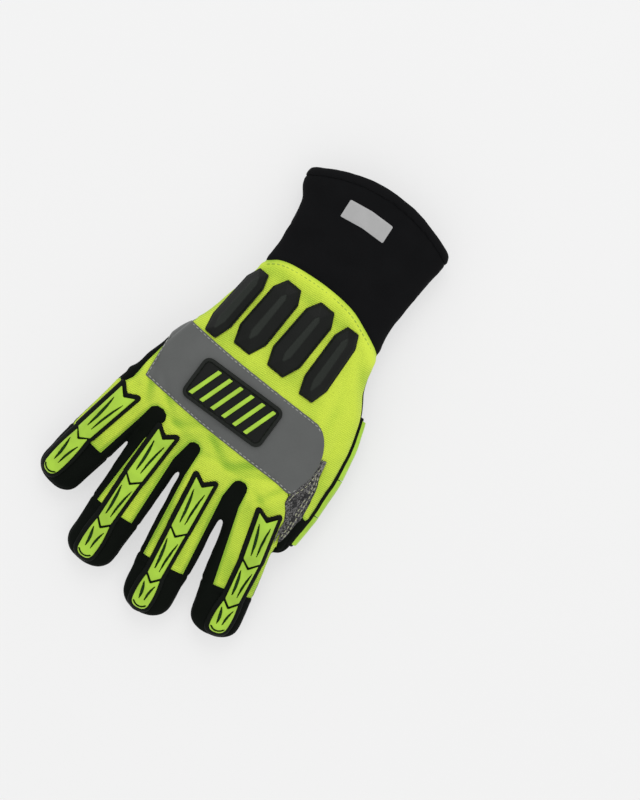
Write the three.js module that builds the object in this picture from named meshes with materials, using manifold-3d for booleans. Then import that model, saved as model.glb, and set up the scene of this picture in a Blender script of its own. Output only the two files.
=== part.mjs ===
// An impact glove for the right hand, lying palm down: a hollow cloth glove sewn from panels,
// with a long cuff, moulded guards on the back and grip patches on the palm.
// Millimetres. +Y runs from the cuff to the fingertips, +X towards the little finger, +Z up.

import * as THREE from 'three';
import { mergeVertices } from 'three/addons/utils/BufferGeometryUtils.js';
import Module from 'manifold-3d';

const wasm = await Module();
wasm.setup();

// Hand
const HAND_LENGTH = 110; // wrist crease to the root of the middle finger
const HAND_WIDTH = 119; // across the knuckles
const HAND_DEPTH = 33; // palm to back, behind the knuckles
const WRIST_WIDTH = 82;
const HAND_ARCH = 7; // how far the palm lifts off the table below the knuckles

// Cuff
const CUFF_LENGTH = 76; // wrist crease to the lowest point of the hem
const CUFF_WIDTH = 94; // flat width of the mouth
const CUFF_DEPTH = 24.5;
const CUFF_LIFT = 1.7; // how far the cuff lifts off the table
const HEM_BOW = 12; // how far the hem curves down at its middle
const HEM_WIDTH = 5;
const HEM_PROUD = 0.8;

// Fingers and thumb
const INDEX_LENGTH = 86;
const MIDDLE_LENGTH = 94;
const RING_LENGTH = 90;
const LITTLE_LENGTH = 74;
const FINGER_WIDTH = 31.7;
const LITTLE_WIDTH = 28.5;
const FINGER_DEPTH = 17.5;
const THUMB_LENGTH = 114;
const THUMB_WIDTH = 20; // across, because the thumb lies on its edge
const THUMB_DEPTH = 22.5;
const THUMB_CLEARANCE = 2; // between the thumb and the side of the hand

// Cloth, rubber and trim
const WALL = 1.8;
const PANEL_GAP = 0.3; // between two panels that meet at a seam
const SEAT_GAP = 0.3; // under a piece that lies on the cloth
const PATCH_THICKNESS = 1.2;
const PATCH_SPARE = 1.3; // a patch is made this much thicker, then cut flat by the table
const BAND_WIDTH = 41;
const BAND_THICKNESS = 0.8;
const PLATE_LENGTH = 54.5;
const PLATE_WIDTH = 26.5;
const PLATE_THICKNESS = 2.4;
const PLATE_CORNER = 4.5;
const PLATE_RIM = 2.2;
const PLATE_RECESS = 1;
const PLATE_BAR_WIDTH = 2.6;
const PLATE_BAR_COUNT = 6;
const PLATE_BAR_SLOPE = 0.3; // sideways run of a bar, as a share of its length
const PLATE_BAR_MARGIN = 0.6; // bare ends of the plate, in pitches of the bars
const RIB_LENGTH = 47;
const RIB_WIDTH = 20;
const RIB_HEIGHT = 5;
const GUARD_WIDTH = 17;
const GUARD_RIM = 2.3; // black edge around the raised segments
const GUARD_BASE = 1.4;
const GUARD_HEIGHT = 2.6; // of the segments above the base
const GUARD_NOTCH = 4.5; // depth of the arrow at each end of a segment
const GUARD_SLIT = 0.8; // between two segments
const LABEL_LENGTH = 28.5;
const LABEL_WIDTH = 11;
const LABEL_THICKNESS = 0.6;
const TAG_LENGTH = 41;
const TAG_WIDTH = 12;
const TAG_THICKNESS = 1.4;
const TAG_CLEARANCE = 0.4; // between the tag and the pull tab
const TAB_WIDTH = 28;
const TAB_LENGTH = 16;
const TAB_THICKNESS = 1.3;
const TRIM_CORNER = 0.8; // corner radius of the label, tag and tab

// The lowest level of the cloth: the grip patches below it stand on the table.
const CLOTH_LEVEL = PATCH_THICKNESS + SEAT_GAP;

// Sides of the sections, and how square they are: 2 is an ellipse.
const TRUNK_SIDES = 18;
const FINGER_SIDES = 10;
const TRUNK_SQUARENESS = 2.5;
const FINGER_SQUARENESS = 2.3;
const TIP_SQUARENESS = 2.5;

// Cuff sections from the hem to the wrist. along: share of CUFF_LENGTH below the wrist crease.
// flare: share of the way from WRIST_WIDTH to CUFF_WIDTH. shift: share of CUFF_WIDTH.
// bow: share of HEM_BOW. lean: rise towards the little finger. depth: share of CUFF_DEPTH.
const CUFF_SECTIONS = [
  { along: 1.0, flare: 0.9, shift: -0.043, bow: 1.0, lean: -0.05, depth: 0.9 },
  { along: 0.945, flare: 1.05, shift: -0.045, bow: 1.0, lean: -0.05, depth: 1.0 },
  { along: 0.86, flare: 1.0, shift: -0.045, bow: 0.9, lean: -0.05, depth: 1.02 },
  { along: 0.72, flare: 0.55, shift: -0.057, bow: 0.55, lean: -0.03, depth: 1.0 },
  { along: 0.5, flare: 0.25, shift: -0.052, bow: 0.2, lean: -0.02, depth: 0.98 },
  { along: 0.15, flare: 0.0, shift: -0.03, bow: -0.1, lean: 0.0, depth: 1.02 },
];

// Hand sections from the wrist to the web between the fingers. along: share of HAND_LENGTH.
// spread: share of the way from WRIST_WIDTH to HAND_WIDTH. shift: share of HAND_WIDTH.
// arch: share of HAND_ARCH. swell: share of the way from CUFF_DEPTH to HAND_DEPTH.
// thin: share of that depth. lean: rise towards the little finger.
const HAND_SECTIONS = [
  { along: 0.0, spread: 0.065, shift: -0.009, arch: 0.1, swell: 0.27, thin: 1.0, lean: 0.0 },
  { along: 0.18, spread: 0.31, shift: 0.008, arch: 0.0, swell: 0.66, thin: 1.0, lean: 0.0 },
  { along: 0.3, spread: 0.51, shift: 0.018, arch: 0.0, swell: 0.8, thin: 1.0, lean: 0.0 },
  { along: 0.45, spread: 0.79, shift: 0.047, arch: 0.1, swell: 1.0, thin: 1.0, lean: 0.0 },
  { along: 0.64, spread: 0.95, shift: 0.083, arch: 0.38, swell: 1.02, thin: 0.99, lean: -0.02 },
  { along: 0.82, spread: 1.0, shift: 0.113, arch: 0.74, swell: 1.0, thin: 0.91, lean: -0.15 },
  { along: 0.93, spread: 1.04, shift: 0.128, arch: 0.95, swell: 1.0, thin: 0.77, lean: -0.28 },
  { along: 1.12, spread: 0.5, shift: 0.126, arch: 1.5, swell: 1.0, thin: 0.36, lean: -0.346 },
];

// Finger sections from inside the hand to the start of the round tip. along: share of the
// finger's length. width: share of its width. arch: share of HAND_ARCH. depth: share of FINGER_DEPTH.
const FINGER_SECTIONS = [
  { along: -0.18, width: 0.7, arch: 1.4, depth: 0.8 },
  { along: 0.0, width: 0.97, arch: 1.0, depth: 1.15 },
  { along: 0.17, width: 0.98, arch: 1.0, depth: 1.08 },
  { along: 0.4, width: 1.0, arch: 0.85, depth: 1.02 },
  { along: 0.64, width: 1.0, arch: 0.5, depth: 0.99 },
  { along: 0.84, width: 0.97, arch: 0.08, depth: 0.94 },
];
// The round tip's rings, by how far round its quarter turn each one lies, in degrees.
const TIP_TURNS = [35, 60, 80];

// Root and splay of each finger. across: share of HAND_WIDTH. along: share of HAND_LENGTH.
// splay: degrees towards the little finger.
const FINGERS = {
  index: { across: -0.234, along: 1.0, splay: -8.1, length: INDEX_LENGTH, width: FINGER_WIDTH },
  middle: { across: 0.04, along: 1.0, splay: -2.0, length: MIDDLE_LENGTH, width: FINGER_WIDTH },
  ring: { across: 0.309, along: 0.955, splay: 5.2, length: RING_LENGTH, width: FINGER_WIDTH },
  little: { across: 0.529, along: 0.845, splay: 16.1, length: LITTLE_LENGTH, width: LITTLE_WIDTH },
};

// Thumb sections from inside the hand to the start of its round tip. along: share of THUMB_LENGTH.
// shift: share of THUMB_WIDTH to the side. width: share of THUMB_WIDTH. rise: share of CLOTH_LEVEL
// above it. depth: share of THUMB_DEPTH.
const THUMB_ROOT = { across: -0.27, along: 0.2 };
const THUMB_SECTIONS = [
  { along: 0.0, shift: 0.0, width: 1.1, rise: 0.4, depth: 1.1 },
  { along: 0.15, shift: -0.42, width: 1.14, rise: 0.2, depth: 1.12 },
  { along: 0.34, shift: -0.77, width: 1.03, rise: 0.0, depth: 1.07 },
  { along: 0.54, shift: -0.86, width: 1.0, rise: 0.0, depth: 1.0 },
  { along: 0.76, shift: -0.79, width: 0.98, rise: 0.0, depth: 0.95 },
  { along: 0.9, shift: -0.68, width: 0.94, rise: 0.0, depth: 0.86 },
];
const THUMB_CROTCH = 0.69; // share of HAND_LENGTH where the thumb parts from the hand

// Side seam between back and palm. along: share of HAND_LENGTH. height: share of HAND_DEPTH.
const SIDE_SEAM = [
  { along: -1.0, height: 0.45 },
  { along: 0.0, height: 0.47 },
  { along: 0.3, height: 0.52 },
  { along: 0.6, height: 0.58 },
  { along: 0.82, height: 0.59 },
  { along: 1.0, height: 0.55 },
  { along: 1.27, height: 0.5 },
  { along: 1.43, height: 0.45 },
  { along: 1.6, height: 0.38 },
  { along: 2.2, height: 0.3 },
];

// Wrist seam, where the back panel meets the cuff. across: share of HAND_WIDTH.
// along: share of HAND_LENGTH.
const WRIST_SEAM = [
  { across: -0.7, along: 0.24 },
  { across: -0.42, along: 0.115 },
  { across: -0.34, along: 0.05 },
  { across: -0.25, along: -0.01 },
  { across: -0.15, along: -0.065 },
  { across: 0.0, along: -0.1 },
  { across: 0.16, along: -0.112 },
  { across: 0.26, along: -0.102 },
  { across: 0.34, along: -0.06 },
  { across: 0.6, along: 0.05 },
];

// Edge of the back panel beside the little finger, where the palm panel wraps round.
const SIDE_WRAP = [
  { across: 0.6, along: 0.2 },
  { across: 0.49, along: 0.34 },
  { across: 0.487, along: 0.4 },
  { across: 0.53, along: 0.54 },
  { across: 0.565, along: 0.68 },
  { across: 0.59, along: 0.8 },
  { across: 0.63, along: 0.85 },
];

// Yellow strip on each finger, as shares of the finger's width and length. The end is also where
// the black fingertip starts.
const STRIP_ROOT = 0.12; // share of the finger's length where the strip meets the hand
const STRIP_OVERLAP = 0.05; // how far its outline runs on under the fingertip
const STRIPS = {
  index: { leftRoot: -0.7, leftEnd: -0.7, rightRoot: 0.34, rightEnd: 0.25, end: 0.66 },
  middle: { leftRoot: -0.37, leftEnd: -0.4, rightRoot: 0.4, rightEnd: 0.41, end: 0.66 },
  ring: { leftRoot: -0.33, leftEnd: -0.38, rightRoot: 0.3, rightEnd: 0.38, end: 0.61 },
  little: { leftRoot: -0.38, leftEnd: -0.33, rightRoot: 0.7, rightEnd: 0.7, end: 0.55 },
};

// Outlines around a finger or the thumb stand this far outside it, as shares of its width
// and length.
const BESIDE_FINGER = 0.56;
const BEYOND_FINGERTIP = 1.2;
const BESIDE_THUMB = 1.5;
const BEYOND_THUMB_TIP = 1.1;

// Foot of each black fourchette on the back, measured from the middle between its two fingers'
// roots. shift and drop: shares of HAND_LENGTH. half: share of FINGER_WIDTH.
const FOURCHETTES = [
  { first: 'index', second: 'middle', shift: -0.018, drop: 0.02, half: 0.15 },
  { first: 'middle', second: 'ring', shift: -0.007, drop: 0.05, half: 0.13 },
  { first: 'ring', second: 'little', shift: -0.02, drop: 0.04, half: 0.19 },
];

// Guard on each finger. start, joints and end: shares of the finger's length.
// sideRoot and sideTip: how far it stands to the side, as shares of the finger's width.
const GUARDS = {
  index: { start: 0.09, joints: [0.47, 0.765], end: 0.965, sideRoot: -0.22, sideTip: -0.09 },
  middle: { start: 0.08, joints: [0.425, 0.745], end: 0.975, sideRoot: 0.02, sideTip: 0.05 },
  ring: { start: 0.02, joints: [0.37, 0.7], end: 0.97, sideRoot: -0.02, sideTip: 0.0 },
  little: { start: 0.05, joints: [0.53], end: 0.96, sideRoot: 0.12, sideTip: 0.1 },
};
// Width of a guard along its length, as shares of GUARD_WIDTH: at its start, at a joint and
// in the middle of its tip segment.
const GUARD_START_WIDTH = 1.0;
const GUARD_JOINT_WIDTH = 0.88;
const GUARD_TIP_WIDTH = 0.98;
// The round end of a tip segment. back: share of GUARD_ROUND. out: share of the half width.
const GUARD_ROUND = 0.06; // share of the finger's length
const GUARD_END = [
  { back: 0.25, out: 0.8 },
  { back: 0.0, out: 0.35 },
  { back: 0.0, out: -0.35 },
  { back: 0.25, out: -0.8 },
];

// Ribs on the back of the hand. across: share of HAND_WIDTH. along: share of HAND_LENGTH.
// lean: degrees towards the little finger. width: share of RIB_WIDTH.
const RIBS = [
  { across: -0.19, along: 0.24, lean: 5.5, width: 0.78 },
  { across: -0.016, along: 0.2, lean: 9.8, width: 0.98 },
  { across: 0.174, along: 0.185, lean: 9.8, width: 0.97 },
  { across: 0.337, along: 0.2, lean: 10.8, width: 0.68 },
];
// Half outline of a rib from its heel to its nose. out: share of its half width.
// along: share of RIB_LENGTH from its middle.
const RIB_OUTLINE = [
  { out: 0.55, along: -0.5 },
  { out: 0.95, along: -0.34 },
  { out: 1.0, along: 0.28 },
  { out: 0.6, along: 0.5 },
];
// Levels of a rib. inset: share of its half width. height: share of RIB_HEIGHT.
const RIB_LEVELS = [
  { inset: 0.0, height: -0.5 },
  { inset: 0.0, height: 0.4 },
  { inset: 0.16, height: 0.72 },
  { inset: 0.72, height: 1.0 },
];

// Middle line and ends of the reflective band.
const BAND_LINE = [
  { across: -0.36, along: 0.73 },
  { across: -0.25, along: 0.715 },
  { across: 0.0, along: 0.677 },
  { across: 0.25, along: 0.634 },
  { across: 0.54, along: 0.57 },
];
// The curved end of the band beside the thumb. out: share of the way to the next point of its
// middle line, with 0 at its end. along: share of BAND_WIDTH.
const BAND_NOSE = [
  { out: 0.4, along: -0.36 },
  { out: -0.08, along: -0.12 },
  { out: 0.04, along: 0.25 },
  { out: 0.23, along: 0.5 },
];
const PLATE_PLACE = { across: 0.115, along: 0.655, turn: -6.5 };
const LABEL_PLACE = { across: -0.005, along: 0.715, turn: -3 }; // shares of CUFF_WIDTH and CUFF_LENGTH
const TAG_ACROSS = 0.02;
const TAB_PLACE = { across: -0.01, along: 0.985 };

// Grip patches on the palm. across: share of HAND_WIDTH. along: share of HAND_LENGTH.
const LOWER_PATCH = [
  { across: -0.17, along: 0.01 },
  { across: 0.3, along: 0.02 },
  { across: 0.37, along: 0.14 },
  { across: 0.4, along: 0.22 },
  { across: -0.31, along: 0.535 },
  { across: -0.345, along: 0.45 },
  { across: -0.34, along: 0.35 },
  { across: -0.3, along: 0.22 },
  { across: -0.22, along: 0.07 },
];
const MIDDLE_PATCH = [
  { across: -0.33, along: 0.6 },
  { across: 0.41, along: 0.27 },
  { across: 0.46, along: 0.36 },
  { across: 0.52, along: 0.58 },
  { across: 0.28, along: 0.62 },
  { across: -0.33, along: 0.715 },
];
const UPPER_PATCH_LEFT = [
  { across: -0.17, along: 1.07 },
  { across: -0.28, along: 1.03 },
  { across: -0.315, along: 0.93 },
  { across: -0.32, along: 0.77 },
  { across: 0.28, along: 0.66 },
  { across: 0.54, along: 0.62 },
  { across: 0.575, along: 0.76 },
];
const INDEX_PATCH_LEFT = [
  { across: -0.34, along: 0.61 },
  { across: -0.34, along: 0.93 },
  { across: -0.31, along: 1.04 },
];
const INDEX_PATCH_RIGHT = [
  { across: -0.37, along: 0.95 },
  { across: -0.365, along: 0.62 },
];
const PATCH_HALF = 0.37; // half width of a patch on a finger, as a share of its width
const PATCH_BREAK = { start: 0.575, end: 0.61 }; // bare gap across each finger
const PATCH_END = 0.975;
const PATCH_ROOT = 0.2; // share of the finger's length where its patch leaves the hand
const PATCH_ROUND = 0.05; // share of the finger's length that rounds the end of a patch
const PATCH_END_WIDTH = 0.6;
const CROTCH = 0.17; // share of the finger's length where two fingers part
const PATCH_HOLE = 6; // radius of the round cut at each finger crotch

// Parts of the thumb's covering, as shares of THUMB_WIDTH beside its middle and THUMB_LENGTH.
const THUMB_TIP_START = 0.79;
const THUMB_YELLOW_END = 0.94;
const THUMB_EDGE_STRIP = -0.33; // the back panel's strip beside the guard ends here at the tip
const THUMB_PATCH_TOP = -0.02;
const THUMB_PATCH_UNDER = -0.36;
const THUMB_PATCH = { start: 0.3, end: 0.965, beyond: 0.8 };
const THUMB_GUARD = { start: 0.22, end: 0.92, inner: -0.24, level: 0.34, rim: 0.8, height: 0.6 };

const COLOURS = {
  knit: { color: 0xc8dc46, roughness: 0.85, metalness: 0 },
  black: { color: 0x17181a, roughness: 0.85, metalness: 0 },
  neoprene: { color: 0x141416, roughness: 0.9, metalness: 0 },
  lime: { color: 0x93be3c, roughness: 0.45, metalness: 0 },
  rubber: { color: 0x1b1d1c, roughness: 0.5, metalness: 0 },
  reflective: { color: 0x5f6264, roughness: 0.4, metalness: 0.2 },
  grip: { color: 0x85848a, roughness: 0.9, metalness: 0 },
  label: { color: 0xb9bbbc, roughness: 0.6, metalness: 0 },
};

const radians = (degrees) => (degrees * Math.PI) / 180;
const mix = (from, to, share) => from + (to - from) * share;
const handPoint = ({ across, along }) => new THREE.Vector2(across * HAND_WIDTH, along * HAND_LENGTH);
const cuffPoint = ({ across, along }) => new THREE.Vector2(across * CUFF_WIDTH, -along * CUFF_LENGTH);

// A closed three.js geometry becomes a solid that can be joined and cut.
function toSolid(geometry) {
  geometry.deleteAttribute('normal');
  geometry.deleteAttribute('uv');
  const merged = mergeVertices(geometry, 1e-5);
  return new wasm.Manifold(new wasm.Mesh({
    numProp: 3,
    vertProperties: new Float32Array(merged.attributes.position.array),
    triVerts: new Uint32Array(merged.index.array),
  }));
}

function toGeometry(solid) {
  const mesh = solid.getMesh();
  const geometry = new THREE.BufferGeometry();
  geometry.setAttribute('position', new THREE.BufferAttribute(mesh.vertProperties, 3));
  geometry.setIndex(new THREE.BufferAttribute(mesh.triVerts, 1));
  return geometry;
}

function joinAll(solids) {
  return solids.reduce((joined, solid) => joined.add(solid));
}

// Cutting leaves slivers where two cuts nearly meet: the piece is the largest part.
function mainPart(solid) {
  const parts = solid.decompose();
  parts.sort((first, second) => second.volume() - first.volume());
  return parts[0];
}

// One section: a rounded box shape standing across a direction in plan.
function sectionRing({ centre, turn, halfWidth, halfDepth, squareness, sides, lean = 0, bow = 0 }) {
  const across = new THREE.Vector3(Math.cos(turn), -Math.sin(turn), 0);
  const forward = new THREE.Vector3(Math.sin(turn), Math.cos(turn), 0);
  const shape = (value) => Math.sign(value) * Math.abs(value) ** (2 / squareness);
  const points = [];
  for (let side = 0; side < sides; side += 1) {
    const angle = (2 * Math.PI * side) / sides;
    const out = shape(Math.cos(angle));
    const up = shape(Math.sin(angle));
    const point = centre.clone();
    point.addScaledVector(across, out * halfWidth);
    point.addScaledVector(forward, out * halfWidth * lean + bow * out * out);
    point.z += up * halfDepth;
    points.push(point);
  }
  return points;
}

// A closed skin over a row of sections, with a flat fan at each end.
function loft(rings) {
  const sides = rings[0].length;
  const positions = rings.flat().flatMap((point) => point.toArray());
  const triangles = [];
  for (let level = 0; level < rings.length - 1; level += 1) {
    for (let side = 0; side < sides; side += 1) {
      const next = (side + 1) % sides;
      const low = level * sides;
      const high = low + sides;
      triangles.push(low + side, high + side, high + next);
      triangles.push(low + side, high + next, low + next);
    }
  }
  const last = (rings.length - 1) * sides;
  for (const [start, reversed] of [[0, false], [last, true]]) {
    const middle = rings[start / sides]
      .reduce((sum, point) => sum.add(point), new THREE.Vector3())
      .divideScalar(sides);
    const hub = positions.length / 3;
    positions.push(...middle.toArray());
    for (let side = 0; side < sides; side += 1) {
      const next = (side + 1) % sides;
      const fan = reversed ? [hub, start + next, start + side] : [hub, start + side, start + next];
      triangles.push(...fan);
    }
  }
  const geometry = new THREE.BufferGeometry();
  geometry.setAttribute('position', new THREE.Float32BufferAttribute(positions, 3));
  geometry.setIndex(triangles);
  return toSolid(geometry);
}

// Cuff and hand are one skin. grow moves its surface outwards, or inwards where it is negative.
function trunk(grow) {
  const rings = CUFF_SECTIONS.map((row, index) => {
    const depth = CUFF_DEPTH * row.depth;
    const mouth = index === 0 ? Math.abs(Math.min(grow, 0)) : 0;
    return sectionRing({
      centre: new THREE.Vector3(
        row.shift * CUFF_WIDTH,
        -row.along * CUFF_LENGTH - mouth,
        CLOTH_LEVEL + CUFF_LIFT + depth / 2,
      ),
      turn: 0,
      halfWidth: mix(WRIST_WIDTH, CUFF_WIDTH, row.flare) / 2 + grow,
      halfDepth: depth / 2 + grow,
      squareness: TRUNK_SQUARENESS,
      sides: TRUNK_SIDES,
      lean: row.lean,
      bow: row.bow * HEM_BOW,
    });
  });
  for (const row of HAND_SECTIONS) {
    const depth = mix(CUFF_DEPTH, HAND_DEPTH, row.swell) * row.thin;
    rings.push(sectionRing({
      centre: new THREE.Vector3(
        row.shift * HAND_WIDTH,
        row.along * HAND_LENGTH,
        CLOTH_LEVEL + row.arch * HAND_ARCH + depth / 2,
      ),
      turn: 0,
      halfWidth: mix(WRIST_WIDTH, HAND_WIDTH, row.spread) / 2 + grow,
      halfDepth: depth / 2 + grow,
      squareness: TRUNK_SQUARENESS,
      sides: TRUNK_SIDES,
      lean: row.lean,
    }));
  }
  return loft(rings);
}

// A point beside the middle line of a finger, from shares of its length and width.
function fingerPoint(name, along, side) {
  const finger = FINGERS[name];
  const turn = radians(finger.splay);
  const root = handPoint(finger);
  const forward = along * finger.length;
  const across = side * finger.width;
  return new THREE.Vector2(
    root.x + forward * Math.sin(turn) + across * Math.cos(turn),
    root.y + forward * Math.cos(turn) - across * Math.sin(turn),
  );
}

// The rings of a round tip, from its last full section to its end.
function tipRings(section, length, grow, turn) {
  return TIP_TURNS.map((degrees) => {
    const reach = Math.sin(radians(degrees)) ** (2 / TIP_SQUARENESS);
    const size = Math.cos(radians(degrees)) ** (2 / TIP_SQUARENESS);
    const forward = reach * (length + grow);
    return sectionRing({
      ...section,
      centre: section.centre.clone().add(
        new THREE.Vector3(forward * Math.sin(turn), forward * Math.cos(turn), 0),
      ),
      halfWidth: section.halfWidth * size,
      halfDepth: section.halfDepth * size,
    });
  });
}

function finger(name, grow) {
  const { length, width, splay } = FINGERS[name];
  const turn = radians(splay);
  const sections = FINGER_SECTIONS.map((row) => {
    const place = fingerPoint(name, row.along, 0);
    const depth = row.depth * FINGER_DEPTH;
    return {
      centre: new THREE.Vector3(
        place.x,
        place.y,
        CLOTH_LEVEL + row.arch * HAND_ARCH + depth / 2,
      ),
      turn,
      halfWidth: (row.width * width) / 2 + grow,
      halfDepth: depth / 2 + grow,
      squareness: FINGER_SQUARENESS,
      sides: FINGER_SIDES,
    };
  });
  const last = FINGER_SECTIONS[FINGER_SECTIONS.length - 1];
  const rings = sections.map(sectionRing);
  rings.push(...tipRings(sections[sections.length - 1], (1 - last.along) * length, grow, turn));
  return loft(rings);
}

// The thumb's middle line, and a point beside it from shares of its width and length.
function thumbShift(along) {
  const rows = THUMB_SECTIONS;
  const above = rows.findIndex((row) => row.along >= along);
  if (above < 0) {
    return rows[rows.length - 1].shift;
  }
  if (above === 0) {
    return rows[0].shift;
  }
  const low = rows[above - 1];
  const high = rows[above];
  return mix(low.shift, high.shift, (along - low.along) / (high.along - low.along));
}

function thumbPoint(along, side) {
  const root = handPoint(THUMB_ROOT);
  return new THREE.Vector2(
    root.x + (thumbShift(along) + side) * THUMB_WIDTH,
    root.y + along * THUMB_LENGTH,
  );
}

// The thumb lies beside the hand and bends round it: the space that the hand needs is cut from it.
function thumb(grow) {
  const sections = THUMB_SECTIONS.map((row) => {
    const place = thumbPoint(row.along, 0);
    const depth = row.depth * THUMB_DEPTH;
    return {
      centre: new THREE.Vector3(place.x, place.y, CLOTH_LEVEL * (1 + row.rise) + depth / 2),
      turn: 0,
      halfWidth: (row.width * THUMB_WIDTH) / 2 + grow,
      halfDepth: depth / 2 + grow,
      squareness: FINGER_SQUARENESS,
      sides: FINGER_SIDES,
    };
  });
  const last = THUMB_SECTIONS[THUMB_SECTIONS.length - 1];
  const rings = sections.map(sectionRing);
  rings.push(...tipRings(sections[sections.length - 1], (1 - last.along) * THUMB_LENGTH, grow, 0));
  const crotch = THUMB_CROTCH * HAND_LENGTH + grow;
  const beyond = planPrism([
    new THREE.Vector2(-HAND_WIDTH, crotch),
    new THREE.Vector2(HAND_WIDTH, crotch),
    new THREE.Vector2(HAND_WIDTH, 2 * HAND_LENGTH),
    new THREE.Vector2(-HAND_WIDTH, 2 * HAND_LENGTH),
  ]);
  const room = trunk(THUMB_CLEARANCE - grow).add(finger('index', THUMB_CLEARANCE - grow));
  return loft(rings).subtract(room.intersect(beyond));
}

// Outer surfaces moved out or in: the hand with its fingers, and the whole glove.
function hand(grow) {
  return joinAll([trunk(grow), ...Object.keys(FINGERS).map((name) => finger(name, grow))]);
}

const grown = new Map();

function glove(grow) {
  if (!grown.has(grow)) {
    grown.set(grow, hand(grow).add(thumb(grow)));
  }
  return grown.get(grow);
}

// An upright prism over an outline in plan.
function planPrism(outline, low = -HAND_DEPTH, high = 3 * HAND_DEPTH) {
  const geometry = new THREE.ExtrudeGeometry(new THREE.Shape(outline), {
    depth: high - low,
    bevelEnabled: false,
    curveSegments: 4,
  });
  geometry.translate(0, 0, low);
  return toSolid(geometry);
}

// The space above the side seam, or below it, a little away from the seam.
function beyondSeam(above, gap) {
  const line = SIDE_SEAM.map((row) => new THREE.Vector2(
    row.along * HAND_LENGTH,
    row.height * HAND_DEPTH + (above ? gap : -gap),
  ));
  const far = above ? 3 * HAND_DEPTH : -HAND_DEPTH;
  const outline = [
    ...line,
    new THREE.Vector2(line[line.length - 1].x, far),
    new THREE.Vector2(line[0].x, far),
  ];
  const geometry = new THREE.ExtrudeGeometry(new THREE.Shape(outline), {
    depth: 2 * HAND_WIDTH,
    bevelEnabled: false,
  });
  geometry.translate(0, 0, -HAND_WIDTH);
  geometry.applyMatrix4(new THREE.Matrix4().makeBasis(
    new THREE.Vector3(0, 1, 0),
    new THREE.Vector3(0, 0, 1),
    new THREE.Vector3(1, 0, 0),
  ));
  return toSolid(geometry);
}

// An outline moved outwards by a distance, or inwards where it is negative.
function offsetOutline(outline, distance) {
  const clockwise = THREE.ShapeUtils.isClockWise(outline) ? -1 : 1;
  return outline.map((point, index) => {
    const before = outline[(index + outline.length - 1) % outline.length];
    const after = outline[(index + 1) % outline.length];
    const arriving = point.clone().sub(before).normalize();
    const leaving = after.clone().sub(point).normalize();
    const first = new THREE.Vector2(arriving.y, -arriving.x);
    const second = new THREE.Vector2(leaving.y, -leaving.x);
    const normal = first.add(second).normalize();
    const mitre = Math.max(normal.dot(second), 0.4);
    return point.clone().addScaledVector(normal, (clockwise * distance) / mitre);
  });
}

// A skin between two heights above the cloth, inside an outline in plan.
function layer(outline, low, high) {
  return glove(high).intersect(planPrism(outline)).subtract(glove(low));
}

const aboveSeam = beyondSeam(true, PANEL_GAP / 2);
const belowSeam = beyondSeam(false, PANEL_GAP / 2);
const aboveSeamWide = beyondSeam(true, -PANEL_GAP / 2);

const group = new THREE.Group();

function addPiece(name, solid, finish) {
  const mesh = new THREE.Mesh(
    toGeometry(mainPart(solid)),
    new THREE.MeshStandardMaterial(COLOURS[finish]),
  );
  mesh.name = name;
  group.add(mesh);
}

// Outline of the cuff: everything on the near side of the wrist seam.
function cuffOutline(gap) {
  const seam = WRIST_SEAM.map(handPoint).map((point) => point.add(new THREE.Vector2(0, gap)));
  return [
    ...seam,
    new THREE.Vector2(HAND_WIDTH, -2 * CUFF_LENGTH),
    new THREE.Vector2(-HAND_WIDTH, -2 * CUFF_LENGTH),
  ];
}

// Outline of the hem: the mouth's edge, following its bow.
function hemOutline(width) {
  const steps = 8;
  const mouth = CUFF_SECTIONS[0];
  const line = [];
  for (let step = 0; step <= steps; step += 1) {
    const out = mix(-1.2, 1.2, step / steps);
    const across = mouth.shift * CUFF_WIDTH + (out * CUFF_WIDTH) / 2;
    const along = -CUFF_LENGTH + HEM_BOW * out * out + (mouth.lean * out * CUFF_WIDTH) / 2;
    line.push(new THREE.Vector2(across, along + width));
  }
  return [
    ...line,
    new THREE.Vector2(CUFF_WIDTH, -2 * CUFF_LENGTH),
    new THREE.Vector2(-CUFF_WIDTH, -2 * CUFF_LENGTH),
  ];
}

// Outline of a fingertip: the finger beyond the end of its strip.
function fingertipOutline(name, gap) {
  const { end } = STRIPS[name];
  const { length } = FINGERS[name];
  const start = end + gap / length;
  return [
    fingerPoint(name, start, -BESIDE_FINGER),
    fingerPoint(name, start, BESIDE_FINGER),
    fingerPoint(name, BEYOND_FINGERTIP, BESIDE_FINGER),
    fingerPoint(name, BEYOND_FINGERTIP, -BESIDE_FINGER),
  ];
}

function fourchetteFoot({ first, second, shift, drop, half }) {
  const foot = handPoint(FINGERS[first]).add(handPoint(FINGERS[second])).multiplyScalar(0.5);
  foot.x += shift * HAND_LENGTH;
  foot.y -= drop * HAND_LENGTH;
  const reach = half * FINGER_WIDTH;
  return [
    foot.clone().add(new THREE.Vector2(-reach, reach)),
    foot,
    foot.clone().add(new THREE.Vector2(reach, reach)),
  ];
}

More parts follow.
